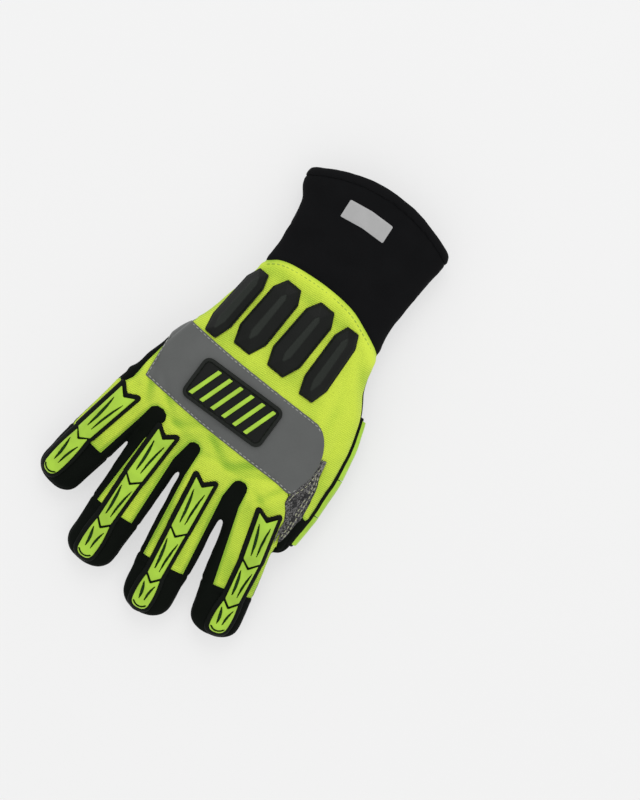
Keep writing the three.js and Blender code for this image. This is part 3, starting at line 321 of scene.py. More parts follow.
# Thumb guard: start, end, inner side and lowest level (share of the thumb's depth), its height
# in millimetres, and where its two slits are.
THUMB_GUARD = (0.185, 0.925, -0.24, 0.34)
THUMB_GUARD_HEIGHT = 1.5
THUMB_GUARD_SLITS = (0.498, 0.714)
THUMB_MARGIN = 0.7  # millimetres around the thumb that its own pieces may fill
HAND_ROOM = 5.0  # millimetres that the room for the hand reaches past the cuff's mouth
HEM_EDGE = 1.2  # millimetres over which the hem rises
EDGE_HEIGHT = 0.35  # height of a layer at its edge, as a share of its full height
DRAPE_SLOPE = 0.7  # the steepest fall of a rib's underside
BRIDGE_REACH = 3  # half the gap, in millimetres, that the fabric beside the thumb spans
# Seams of the cloth: how deep each is pulled in and how wide, in millimetres.
WRIST_VALLEY = (0.7, 1.1)
BACK_VALLEY = (0.55, 0.9)
TIP_VALLEY = (0.4, 0.9)
HEM_VALLEY = (0.35, 0.8)
SIDE_VALLEY = (0.35, 0.9)
SIDE_VALLEY_REACH = 60.0  # millimetres below the outer end of the wrist seam
# Puffed cloth beside a seam: its height (share of the depth), distance and width (shares of the
# seam's width).
SEAM_PUFF = (0.3, 2.6, 1.3)
# Unevenness of the cloth: size of the dents and their depth, in millimetres.
DENTS = [(17.0, 0.55), (6.5, 0.16)]
# Soft folds of the cloth: across and along (shares of the hand), direction in degrees from
# across, half length, width and depth in millimetres. A fold waves to the side by a distance, and
# has a ridge beside it: its height (share of the depth) and distance (share of the width).
FOLD_WAVE = 1.2
FOLD_RIDGE = (0.7, 1.9)
FOLDS = [
    (-0.29, 0.92, 58, 13, 2.6, 0.9),
    (-0.20, 0.90, 24, 13, 2.4, 0.8),
    (-0.23, 1.02, -20, 9, 2.0, 0.5),
    (-0.09, 0.90, 40, 12, 2.3, 0.8),
    (0.02, 0.95, 6, 13, 2.2, 0.6),
    (0.09, 0.88, -24, 13, 2.5, 0.8),
    (0.17, 0.80, 20, 12, 2.6, 0.6),
    (0.24, 0.86, 34, 12, 2.4, 0.7),
    (0.33, 0.88, -8, 11, 2.2, 0.6),
    (0.40, 0.78, -38, 13, 2.5, 0.8),
    (0.50, 0.76, -62, 12, 2.4, 0.7),
    (0.53, 0.66, -70, 12, 2.6, 0.5),
    (0.46, 0.30, 62, 20, 3.2, 0.5),
    (0.42, 0.10, 70, 14, 3.0, 0.45),
    (-0.36, 0.22, -52, 14, 3.0, 0.5),
    (-0.33, 0.42, -75, 16, 3.2, 0.5),
    (0.02, 0.01, -4, 26, 2.6, 0.35),
    (-0.05, -0.24, 6, 40, 5.0, 0.5),
    (-0.08, -0.42, -5, 38, 6.0, 0.45),
    (0.10, -0.60, 12, 22, 5.0, 0.4),
    (-0.30, -0.34, 24, 14, 4.0, 0.5),
    (0.28, -0.30, -20, 14, 4.0, 0.5),
]

# Broad patches of painted light on the knit: across and along (shares of the hand), radius in
# millimetres, and how far painted shade turns the knit green there, or painted highlight turns it
# yellow if less than 0.
KNIT_PAINTED_LIGHT = [
    (-0.35, 0.36, 19.0, -0.5),
    (-0.36, 0.66, 13.0, -0.35),
    (-0.2, 0.0, 12.0, -0.2),
    (0.14, 0.9, 11.0, 0.5),
    (-0.09, 0.95, 9.0, 0.4),
    (0.06, 1.02, 8.0, -0.45),
    (-0.23, 0.94, 8.0, -0.4),
    (0.3, 0.82, 9.0, 0.15),
]
# Where painted shade turns the knit green beside its seams and down the sides, in millimetres, and
# up the fingers, in shares of the hand's length.
KNIT_SEAM_WIDTH = 1.6
KNIT_SIDE_HEIGHT = 9.0
KNIT_FINGERS = (0.93, 0.35)
# Limits of the knit's painted shade, and of the part that its relief has in it.
KNIT_SHADE_LIMITS = (-0.6, 1.0)
KNIT_RELIEF_LIMITS = (-0.35, 1.0)
KNIT_RELIEF_DEPTH = 0.9  # millimetres
# Plain strip of the knit along the wrist seam: how wide it is and how softly it ends, in
# millimetres.
PLAIN_STRIP = (7.2, 4.5)

# Stage: each light's name, energy, place and size, in metres.
LIGHTS = [
    ("key", 6.0, (0.35, -1.1, 1.5), 0.9),
    ("fill", 2.0, (-1.1, 0.6, 1.5), 1.4),
]
WORLD_LIGHT = 0.82
FLOOR_SIZE = 6.0
FLOOR_GLOW = 0.59  # the table lights the glove from all around, as a light table does
WHITE = (1.0, 1.0, 1.0, 1.0)
CAMERA_LENS = 85.0
CAMERA_PLACE = (-0.0436, -0.0177, 1.097)
CAMERA_RIGHT = (-0.866, -0.5, 0.0)
CAMERA_UP = (0.5, -0.866, 0.0)


def length(name, description, default):
    """A size that a user can change, in metres."""
    return bpy.props.FloatProperty(
        name=name, description=description, default=default, min=0.0, precision=5, unit="LENGTH"
    )


def colour(name, description, default):
    """A colour that a user can change."""
    return bpy.props.FloatVectorProperty(
        name=name, description=description, default=default, min=0.0, max=1.0, size=3, subtype="COLOR"
    )


class GloveSizes(bpy.types.PropertyGroup):
    """Sizes of the glove's cloth, rubber and trim."""

    hand_length: length("Hand length", "Wrist crease to the middle finger's root", 0.110)
    hand_width: length("Hand width", "Across the knuckles", 0.119)
    hand_depth: length("Hand depth", "Palm to back, behind the knuckles", 0.033)
    wrist_width: length("Wrist width", "Across the wrist", 0.082)
    hand_arch: length("Hand arch", "Lift of the palm off the table below the knuckles", 0.007)
    cuff_length: length("Cuff length", "Wrist crease to the lowest point of the hem", 0.076)
    cuff_width: length("Cuff width", "Flat width of the cuff's mouth", 0.094)
    cuff_depth: length("Cuff depth", "Thickness of the cuff as it lies", 0.0245)
    cuff_lift: length("Cuff lift", "How far the cuff lifts off the table", 0.0017)
    hem_bow: length("Hem bow", "How far the hem curves down at its middle", 0.012)
    hem_width: length("Hem width", "Width of the cuff's hem", 0.005)
    hem_proud: length("Hem height", "How far the hem stands above the cuff", 0.0008)
    index_length: length("Index length", "Root to tip", 0.086)
    middle_length: length("Middle length", "Root to tip", 0.094)
    ring_length: length("Ring length", "Root to tip", 0.090)
    little_length: length("Little length", "Root to tip", 0.074)
    finger_width: length("Finger width", "Flat width of a finger", 0.0317)
    little_width: length("Little finger width", "Flat width of the little finger", 0.0285)
    finger_depth: length("Finger depth", "Thickness of a finger", 0.0175)
    thumb_length: length("Thumb length", "Root to tip", 0.114)
    thumb_width: length("Thumb width", "Across the thumb as it lies on its edge", 0.020)
    thumb_depth: length("Thumb depth", "Height of the thumb as it lies", 0.0225)
    thumb_clearance: length("Thumb clearance", "Between the thumb and the hand", 0.002)
    wall: length("Cloth", "Thickness of the cloth", 0.0018)
    cloth_level: length("Cloth level", "Lowest level of the cloth above the table", 0.0015)
    weave_step: length("Cloth detail", "Size of the cloth's mesh faces", 0.00105)


class GloveTrim(bpy.types.PropertyGroup):
    """Sizes of the glove's guards, patches, labels and stitches."""

    patch_thickness: length("Patch thickness", "Thickness of a grip patch", 0.0009)
    dot_width: length("Grip dot width", "Diameter of a grip dot", 0.0028)
    dot_height: length("Grip dot height", "Height of a grip dot", 0.0005)
    dot_pitch: length("Grip dot pitch", "Distance between grip dots", 0.0075)
    band_width: length("Band width", "Width of the reflective band", 0.041)
    band_thickness: length("Band thickness", "Thickness of the reflective band", 0.0008)
    plate_length: length("Plate length", "Length of the knuckle plate", 0.0545)
    plate_width: length("Plate width", "Width of the knuckle plate", 0.0265)
    plate_height: length("Plate height", "Height of the knuckle plate's rim", 0.0026)
    plate_corner: length("Plate corner", "Corner radius of the knuckle plate", 0.0045)
    plate_rim: length("Plate rim", "Width of the knuckle plate's rim", 0.0022)
    plate_recess: length("Plate recess", "Depth of the knuckle plate's field", 0.0011)
    plate_bar: length("Plate bar", "Width of a bar on the knuckle plate", 0.0026)
    rib_length: length("Rib length", "Length of a rib on the hand", 0.047)
    rib_width: length("Rib width", "Width of the widest rib", 0.020)
    rib_height: length("Rib height", "Height of a rib", 0.005)
    guard_width: length("Guard width", "Width of a finger guard's first segment", 0.0123)
    guard_rim: length("Guard rim", "Black edge around the raised segments", 0.002)
    guard_offset: length("Guard offset", "Shift of the base to the little finger's side", 0.0004)
    guard_base: length("Guard base", "Height of the guard's black base", 0.0016)
    guard_height: length("Guard height", "Height of a segment above the base", 0.0026)
    guard_notch: length("Guard notch", "Depth of the arrow at a segment's end", 0.0045)
    guard_slit: length("Guard slit", "Gap between two segments", 0.0013)
    groove_depth: length("Groove depth", "Depth of the grooves in a segment", 0.0014)
    groove_width: length("Groove width", "Width of the grooves in a segment", 0.0018)
    label_length: length("Label length", "Length of the cuff label", 0.0285)
    label_width: length("Label width", "Width of the cuff label", 0.011)
    label_bow: length("Label bow", "How far the label curves with the hem", 0.001)
    tag_length: length("Tag length", "Length of the cuff tag", 0.041)
    tag_width: length("Tag width", "Width of the cuff tag", 0.012)
    tab_width: length("Tab width", "Width of the pull tab", 0.028)
    tab_length: length("Tab length", "Length of the pull tab", 0.016)
    stitch_length: length("Stitch length", "Length of a stitch", 0.0021)
    stitch_width: length("Stitch width", "Thickness of the thread", 0.00052)
    stitch_gap: length("Stitch gap", "Gap between two stitches", 0.0008)


class GloveColours(bpy.types.PropertyGroup):
    """Colours of the glove's cloth, rubber and thread."""

    knit: colour("Knit", "High visibility knit", (0.67, 0.83, 0.07))
    # Painted shade: the green of the knit in its folds, beside its seams, down its sides and up the
    # fingers; also the darker lines between its ribs and its random clouds.
    knit_painted_shade: colour("Knit shade", "Knit between its ribs", (0.24, 0.47, 0.03))
    fabric: colour("Fabric", "Black stretch fabric", (0.0028, 0.0038, 0.0028))
    neoprene: colour("Cuff", "Black cuff fabric", (0.0042, 0.0043, 0.0047))
    lime: colour("Lime rubber", "Raised segments of the guards", (0.42, 0.68, 0.055))
    # Painted shade in the grooves of the guards.
    lime_painted_shade: colour("Lime shade", "Grooves of the guards", (0.006, 0.035, 0.004))
    rubber: colour("Black rubber", "Guard bases, ribs and plate", (0.0045, 0.0055, 0.0045))
    tape: colour("Reflective tape", "Reflective band", (0.088, 0.092, 0.09))
    grip: colour("Grip fabric", "Heather grey patches", (0.265, 0.257, 0.253))
    # Also the colour that the painted shade of the gusset leans to.
    grip_dark: colour("Grip shade", "Dark fibres of the grey patches", (0.022, 0.022, 0.023))
    dot: colour("Grip dots", "Rubber dots on the grey patches", (0.022, 0.022, 0.024))
    label: colour("Label", "Blank woven label", (0.37, 0.37, 0.37))
    thread: colour("Thread", "Pale thread", (0.47, 0.48, 0.32))
    pale_thread: colour("Pale thread", "Thread on the band", (0.42, 0.43, 0.40))
    lime_thread: colour("Lime thread", "Thread along the wrist", (0.42, 0.62, 0.05))
    floor: colour("Floor", "Table and backdrop", (0.3, 0.3, 0.3))


def mm(name):
    """A size by its name, in millimetres."""
    scene = bpy.context.scene
    group = scene.glove_sizes if hasattr(scene.glove_sizes, name) else scene.glove_trim
    return getattr(group, name) / MM


def tint(name, factor=1.0):
    """A colour by its name, made lighter or darker by a factor, with full alpha."""
    plain = getattr(bpy.context.scene.glove_colours, name)
    return (*(channel * factor for channel in plain), 1.0)


# Points in plan, in millimetres, with the wrist crease's middle at 0


def hand_point(place):
    return np.array([place[0] * mm("hand_width"), place[1] * mm("hand_length")])


def hand_points(places):
    return [hand_point(place) for place in places]


def cuff_point(place):
    return np.array([place[0] * mm("cuff_width"), -place[1] * mm("cuff_length")])


def finger_axes(name):
    """Root, direction, sideways direction, length and width of a finger."""
    across, along, splay, length_name, width_name = FINGERS[name]
    turn = math.radians(splay)
    forward = np.array([math.sin(turn), math.cos(turn)])
    side = np.array([math.cos(turn), -math.sin(turn)])
    return hand_point((across, along)), forward, side, mm(length_name), mm(width_name)


def finger_point(name, along, across):
    root, forward, side, reach, width = finger_axes(name)
    return root + forward * along * reach + side * across * width


def thumb_point(along, across):
    rows = np.array(THUMB_SECTIONS)
    shift = np.interp(along, rows[:, 0], rows[:, 1])
    root = hand_point(THUMB_ROOT)
    return root + np.array([(shift + across) * mm("thumb_width"), along * mm("thumb_length")])


def origin():
    """Where the wrist crease's middle lies in the row frame, from the knuckle plate's node."""
    low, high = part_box("knuckle_plate")
    middle = (low + high) / 2 / MM
    place = hand_point(PLATE_PLACE)
    return np.array([middle.x - place[0], middle.y - place[1], 0.0])


def pairs(points, closed=True):
    """Each point with the next one."""
    points = [np.asarray(point, float) for point in points]
    return list(zip(points, points[1:] + points[:1])) if closed else list(zip(points, points[1:]))


def curve(points, step=2.5):
    """An open line on a smooth curve through its points."""
    points = [np.asarray(point, float) for point in points]
    points = [2 * points[0] - points[1], *points, 2 * points[-1] - points[-2]]
    line = []
    for before, start, end, after in zip(points, points[1:], points[2:], points[3:]):
        parts = max(1, int(np.linalg.norm(end - start) / step))
        for t in np.arange(parts) / parts:
            line.append(
                0.5
                * (
                    2 * start
                    + (end - before) * t
                    + (2 * before - 5 * start + 4 * end - after) * t**2
                    + (3 * start - before - 3 * end + after) * t**3
                )
            )
    line.append(points[-2])
    return line


def rounded(outline, step=3.0, passes=2):
    """A closed outline with its corners cut round."""
    line = []
    for start, end in pairs(outline):
        parts = max(1, int(np.linalg.norm(end - start) / step))
        line += [start + (end - start) * part / parts for part in range(parts)]
    for _ in range(passes):
        line = [
            point
            for start, end in pairs(line)
            for point in (0.75 * start + 0.25 * end, 0.25 * start + 0.75 * end)
        ]
    return line


def rounded_box(box_length, box_width, radius, centre, degrees, steps=6):
    """A turned rectangle with round corners."""
    turn = math.radians(degrees)
    line = []
    corners = ((1, 1), (-1, 1), (-1, -1), (1, -1))
    for quarter, (right, up) in enumerate(corners):
        middle = np.array([right * (box_length / 2 - radius), up * (box_width / 2 - radius)])
        for step in range(steps + 1):
            angle = (quarter + step / steps) * math.pi / 2
            point = middle + radius * np.array([math.cos(angle), math.sin(angle)])
            x, y = point
            turned = (x * math.cos(turn) - y * math.sin(turn), x * math.sin(turn) + y * math.cos(turn))
            line.append(np.asarray(centre) + turned)
    return line


def distance_to(points, line, closed=True):
    """Distance in plan from each point to a line."""
    best = np.full(len(points), 1e9)
    for start, end in pairs(line, closed):
        run = end - start
        squared = max(float(run @ run), 1e-9)
        share = np.clip(((points - start) @ run) / squared, 0, 1)
        away = points - start - share[:, None] * run
        best = np.minimum(best, np.hypot(away[:, 0], away[:, 1]))
    return best


def within(points, outline):
    """Whether each point lies inside an outline in plan."""
    inside = np.zeros(len(points), bool)
    for start, end in pairs(outline):
        crosses = (start[1] > points[:, 1]) != (end[1] > points[:, 1])
        rise = end[1] - start[1] or 1e-9
        at = start[0] + (points[:, 1] - start[1]) * (end[0] - start[0]) / rise
        inside ^= crosses & (points[:, 0] < at)
    return inside


def inset(outline, distance):
    """An outline moved inwards by a distance."""
    points = [np.asarray(point, float) for point in outline]
    area = sum(a[0] * b[1] - b[0] * a[1] for a, b in pairs(points))
    way = 1.0 if area > 0 else -1.0
    line = []
    for before, point, after in zip(points[-1:] + points[:-1], points, points[1:] + points[:1]):
        arriving = (point - before) / max(np.linalg.norm(point - before), 1e-9)
        leaving = (after - point) / max(np.linalg.norm(after - point), 1e-9)
        normal = np.array([-arriving[1] - leaving[1], arriving[0] + leaving[0]])
        normal /= max(np.linalg.norm(normal), 1e-9)
        mitre = max(normal @ np.array([-leaving[1], leaving[0]]), 0.5)
        line.append(point + way * distance * normal / mitre)
    return line


# Meshes


def scratch(mesh):
    """A short-lived object around a mesh, so that a modifier can work on it."""
    obj = bpy.data.objects.new("scratch", mesh)
    bpy.context.scene.collection.objects.link(obj)
    return obj


def evaluated(obj):
    """The mesh of a short-lived object with its modifiers applied; the object goes."""
    bpy.context.view_layer.update()
    graph = bpy.context.evaluated_depsgraph_get()
    mesh = bpy.data.meshes.new_from_object(obj.evaluated_get(graph))
    bpy.data.objects.remove(obj)
    return mesh


def to_mesh(bm, name="scratch"):
    mesh = bpy.data.meshes.new(name)
    bm.to_mesh(mesh)
    bm.free()
    return mesh


def combined(first, second, operation):
    """Two closed meshes joined, cut or intersected."""
    other = scratch(second)
    target = scratch(first)
    modifier = target.modifiers.new("Combine", "BOOLEAN")
    modifier.operation = operation
    modifier.solver = "MANIFOLD"
    modifier.object = other
    mesh = evaluated(target)
    bpy.data.objects.remove(other)
    return mesh


def common(first, second):
    return combined(first, second, "INTERSECT")


def cut(first, second):
    return combined(first, second, "DIFFERENCE")


def joined(first, second):
    return combined(first, second, "UNION")


def remeshed(mesh, voxel, smoothing):
    """A mesh rebuilt with even faces, then smoothed."""
    obj = scratch(mesh)
    modifier = obj.modifiers.new("Remesh", "REMESH")
    modifier.mode = "VOXEL"
    modifier.voxel_size = voxel
    even = evaluated(obj)
    bm = bmesh.new()
    bm.from_mesh(even)
    for _ in range(smoothing):
        bmesh.ops.smooth_vert(
            bm, verts=bm.verts, factor=0.5, use_axis_x=True, use_axis_y=True, use_axis_z=True
        )
    bm.normal_update()
    return to_mesh(bm)


def coordinates(mesh):
    co = np.empty(len(mesh.vertices) * 3, np.float32)
    mesh.vertices.foreach_get("co", co)
    return co.reshape(-1, 3).astype(float)


def set_coordinates(mesh, co):
    mesh.vertices.foreach_set("co", co.astype(np.float32).ravel())
    mesh.update()
    return mesh


def normals(mesh):
    values = np.empty(len(mesh.vertices) * 3, np.float32)
    mesh.vertex_normals.foreach_get("vector", values)
    return values.reshape(-1, 3).astype(float)


def section_ring(centre, turn, half_width, half_depth, form, lean=0.0, bow=0.0):
    """One section: a rounded box shape standing across a direction in plan."""
    squareness, sides = form
    angle = np.linspace(0, 2 * math.pi, sides, endpoint=False)
    power = 2 / squareness
    out = np.sign(np.cos(angle)) * np.abs(np.cos(angle)) ** power
    up = np.sign(np.sin(angle)) * np.abs(np.sin(angle)) ** power
    across = np.array([math.cos(turn), -math.sin(turn), 0.0])
    forward = np.array([math.sin(turn), math.cos(turn), 0.0])
    ring = np.asarray(centre, float) + np.outer(out * half_width, across)
    ring += np.outer(out * half_width * lean + bow * out * out, forward)
    ring[:, 2] += up * half_depth
    return ring


def loft(rings):
    """A closed skin over a row of sections."""
    bm = bmesh.new()
    loops = []
    for ring in rings:
        verts = [bm.verts.new(point) for point in ring]
        loops.append([bm.edges.new((a, b)) for a, b in zip(verts, verts[1:] + verts[:1])])
        if ring is rings[0] or ring is rings[-1]:
            bm.faces.new(verts)
    for low, high in zip(loops, loops[1:]):
        bmesh.ops.bridge_loops(bm, edges=low + high)
    bmesh.ops.recalc_face_normals(bm, faces=bm.faces)
    bmesh.ops.triangulate(bm, faces=[face for face in bm.faces if len(face.verts) > 4])
    return to_mesh(bm)


def finer(rows, steps):
    """The rows of a table with more between them, on a smooth curve through its own rows."""
    rows = np.array(rows, float)
    along = rows[:, 0]
    slopes = np.gradient(rows, along, axis=0)
    fine = [np.linspace(a, b, steps, endpoint=False) for a, b in zip(along, along[1:])]
    fine = np.concatenate([*fine, along[-1:]])
    low = np.clip(np.searchsorted(along, fine, side="right") - 1, 0, len(along) - 2)
    gap = (along[low + 1] - along[low])[:, None]
    t = (fine - along[low])[:, None] / gap
    return (
        (2 * t**3 - 3 * t**2 + 1) * rows[low]
        + (t**3 - 2 * t**2 + t) * gap * slopes[low]
        + (3 * t**2 - 2 * t**3) * rows[low + 1]
        + (t**3 - t**2) * gap * slopes[low + 1]
    )


def mix(low, high, share):
    return low + (high - low) * share


def trunk(grow, mouth=0.0):
    """Cuff and hand as one skin, moved out by grow. mouth lengthens its open end."""
    rows = []
    for along, flare, shift, bow, lean, depth in CUFF_SECTIONS:
        deep = mm("cuff_depth") * depth
        rows.append((
            along * mm("cuff_length"),
            shift * mm("cuff_width"),
            mm("cloth_level") + mm("cuff_lift") + deep / 2,
            mix(mm("wrist_width"), mm("cuff_width"), flare) / 2,
            deep / 2,
            lean,
            bow * mm("hem_bow"),
        ))
    for along, spread, shift, arch, swell, thin, lean in HAND_SECTIONS:
        deep = mix(mm("cuff_depth"), mm("hand_depth"), swell) * thin
        rows.append((
            along * mm("hand_length"),
            shift * mm("hand_width"),
            mm("cloth_level") + arch * mm("hand_arch") + deep / 2,
            mix(mm("wrist_width"), mm("hand_width"), spread) / 2,
            deep / 2,
            lean,
            0.0,
        ))
    fine = finer(rows, 4)
    fine[0, 0] -= mouth
    return loft([
        section_ring((x, y, z), 0.0, wide + grow, deep + grow, TRUNK_FORM, lean, bow)
        for y, x, z, wide, deep, lean, bow in fine
    ])


def tipped_loft(sections, turn, rest):
    """A skin over sections, with a round tip over the length that is left after the last one."""
    rings = [section_ring(centre, turn, wide, deep, FINGER_FORM) for centre, wide, deep in sections]
    centre, wide, deep = sections[-1]
    for degrees in TIP_TURNS:
        forward = math.sin(math.radians(degrees)) ** (2 / TIP_SQUARENESS) * rest
        size = math.cos(math.radians(degrees)) ** (2 / TIP_SQUARENESS)
        place = centre + forward * np.array([math.sin(turn), math.cos(turn), 0.0])
        rings.append(section_ring(place, turn, wide * size, deep * size, FINGER_FORM))
    return loft(rings)


def finger(name, grow):
    root, forward, _, reach, width = finger_axes(name)
    turn = math.radians(FINGERS[name][2])
    rows = []
    for along, wide, arch, depth in FINGER_SECTIONS:
        deep = depth * mm("finger_depth")
        middle = mm("cloth_level") + arch * mm("hand_arch") + deep / 2
        rows.append((along * reach, middle, wide * width / 2, deep / 2))
    sections = []
    for along, middle, wide, deep in finer(rows, 5):
        sections.append((np.array([*(root + forward * along), middle]), wide + grow, deep + grow))
    return tipped_loft(sections, turn, reach - along + grow)


def extruded(corners, way):
    """A closed solid from a flat outline that is drawn out along a vector."""
    bm = bmesh.new()
    face = bm.faces.new([bm.verts.new(corner) for corner in corners])
    grown = bmesh.ops.extrude_face_region(bm, geom=[face])["geom"]
    far = [item for item in grown if isinstance(item, bmesh.types.BMVert)]
    bmesh.ops.translate(bm, verts=far, vec=way)
    bmesh.ops.recalc_face_normals(bm, faces=bm.faces)
    bmesh.ops.triangulate(bm, faces=bm.faces)
    return to_mesh(bm)


def prism(outline, low=-EVERYWHERE, high=EVERYWHERE):
    """An upright prism over an outline in plan."""
    return extruded([(x, y, low) for x, y in outline], (0, 0, high - low))


def above_line(start):
    """An outline over everything beyond a level along the hand."""
    ends = ((-EVERYWHERE, start), (EVERYWHERE, start))
    return [*ends, (EVERYWHERE, EVERYWHERE), (-EVERYWHERE, EVERYWHERE)]


def thumb(grow):
    """The thumb, bent round the space that the hand needs."""
    rows = []
    for along, _, width, rise, depth in THUMB_SECTIONS:
        deep = depth * mm("thumb_depth")
        x, y = thumb_point(along, 0)
        middle = mm("cloth_level") * (1 + rise) + deep / 2
        rows.append((y, x, middle, width * mm("thumb_width") / 2, deep / 2))
    sections = []
    for y, x, middle, wide, deep in finer(rows, 5):
        sections.append((np.array([x, y, middle]), wide + grow, deep + grow))
    rest = hand_point(THUMB_ROOT)[1] + mm("thumb_length") - y + grow
    room = mm("thumb_clearance") - grow
    beyond = prism(above_line(THUMB_CROTCH * mm("hand_length") + grow))
    skin = cut(tipped_loft(sections, 0.0, rest), common(trunk(room), beyond))
    return cut(skin, common(finger("index", room), beyond))


def glove_body(grow, mouth, voxel, smoothing):
    """The whole glove as one closed skin."""
    bm = bmesh.new()
    for part in (trunk(grow, mouth), thumb(grow), *(finger(name, grow) for name in FINGERS)):
        bm.from_mesh(part)
    return remeshed(to_mesh(bm), voxel, smoothing)


# Outlines of the panels


def wrist_line(shift=0.0):
    return curve([hand_point(place) + (0.0, shift) for place in WRIST_SEAM])


def cuff_outline():
    return [*wrist_line(), (EVERYWHERE, -EVERYWHERE), (-EVERYWHERE, -EVERYWHERE)]


def hem_line(width):
    """The line of the hem at a distance from the cuff's edge."""
    shift, lean = CUFF_SECTIONS[0][2], CUFF_SECTIONS[0][4]
    line = []
    for out in np.linspace(-1.2, 1.2, 33):
        x = (shift + out / 2) * mm("cuff_width")
        y = -mm("cuff_length") + mm("hem_bow") * out * out + lean * out * mm("cuff_width") / 2
        line.append(np.array([x, y + width]))
    return line


def hem_outline():
    return [*hem_line(mm("hem_width")), (EVERYWHERE, -EVERYWHERE), (-EVERYWHERE, -EVERYWHERE)]


def fingertip_outline(name):
    end = STRIPS[name][4]
    return [
        finger_point(name, end, -0.56),
        finger_point(name, end + 0.004, -0.2),
        finger_point(name, end + 0.004, 0.2),
        finger_point(name, end, 0.56),
        finger_point(name, 1.2, 0.56),
        finger_point(name, 1.2, -0.56),
    ]


def fourchette_foot(row):
    first, second, shift, drop, half = row
    foot = (finger_point(first, 0, 0) + finger_point(second, 0, 0)) / 2
    foot = foot + np.array([shift, -drop]) * mm("hand_length")
    reach = half * mm("finger_width")
    turns = np.radians([180, 215, 250, 290, 325, 360])
    return [foot + reach * np.array([math.cos(turn), 0.9 + 0.9 * math.sin(turn)]) for turn in turns]


def back_outline():
    """The yellow back: the hand, a strip up each finger and the thumb's outer side."""
    outline = [(EVERYWHERE, -EVERYWHERE), *curve(hand_points(SIDE_WRAP))]
    for name in ("little", "ring", "middle", "index"):
        left_root, left_end, right_root, right_end, end = STRIPS[name]
        outline.append(finger_point(name, 0 if name == "little" else STRIP_ROOT, right_root))
        outline.append(finger_point(name, end + 0.05, right_end))
        outline.append(finger_point(name, end + 0.05, left_end))
        outline.append(finger_point(name, STRIP_ROOT, left_root))
        for row in FOURCHETTES:
            if row[1] == name:
                outline += fourchette_foot(row)[::-1]
    outline.append(thumb_point(THUMB_CROTCH, 0.5))
    outline.append(thumb_point(THUMB_TIP_START - 0.02, THUMB_EDGE_STRIP + 0.3))
    outline.append(thumb_point(THUMB_TIP_START, THUMB_EDGE_STRIP))
    outline.append(thumb_point(THUMB_YELLOW_END, THUMB_EDGE_STRIP))
    outline.append(thumb_point(THUMB_YELLOW_END, -1.5))
    outline.append((-EVERYWHERE, -EVERYWHERE))
    return outline


def thumb_tip_outline():
    return [
        thumb_point(THUMB_TIP_START, THUMB_EDGE_STRIP),
        thumb_point(THUMB_TIP_START, 1),
        thumb_point(1.1, 1),
        thumb_point(1.1, -1.5),
        thumb_point(THUMB_YELLOW_END, -1.5),
        thumb_point(THUMB_YELLOW_END, THUMB_EDGE_STRIP),
    ]


def between_fingers(row):
    first, second = row[:2]
    return [
        finger_point(first, -2 * STRIP_ROOT, 0),
        finger_point(second, -2 * STRIP_ROOT, 0),
        finger_point(second, STRIPS[second][4] + 0.025, 0),
        finger_point(first, STRIPS[first][4] + 0.025, 0),
    ]


def beyond_seam(above):
    """The space above the side seam, or below it."""
    line = [(along * mm("hand_length"), height * mm("hand_depth")) for along, height in SIDE_SEAM]
    far = EVERYWHERE if above else -EVERYWHERE
    corners = [*line, (line[-1][0], far), (line[0][0], far)]
    return extruded([(-EVERYWHERE, y, z) for y, z in corners], (2 * EVERYWHERE, 0, 0))


def seam_height(y):
    rows = np.array(SIDE_SEAM)
    return np.interp(y, rows[:, 0] * mm("hand_length"), rows[:, 1] * mm("hand_depth"))


# The cloth's surface


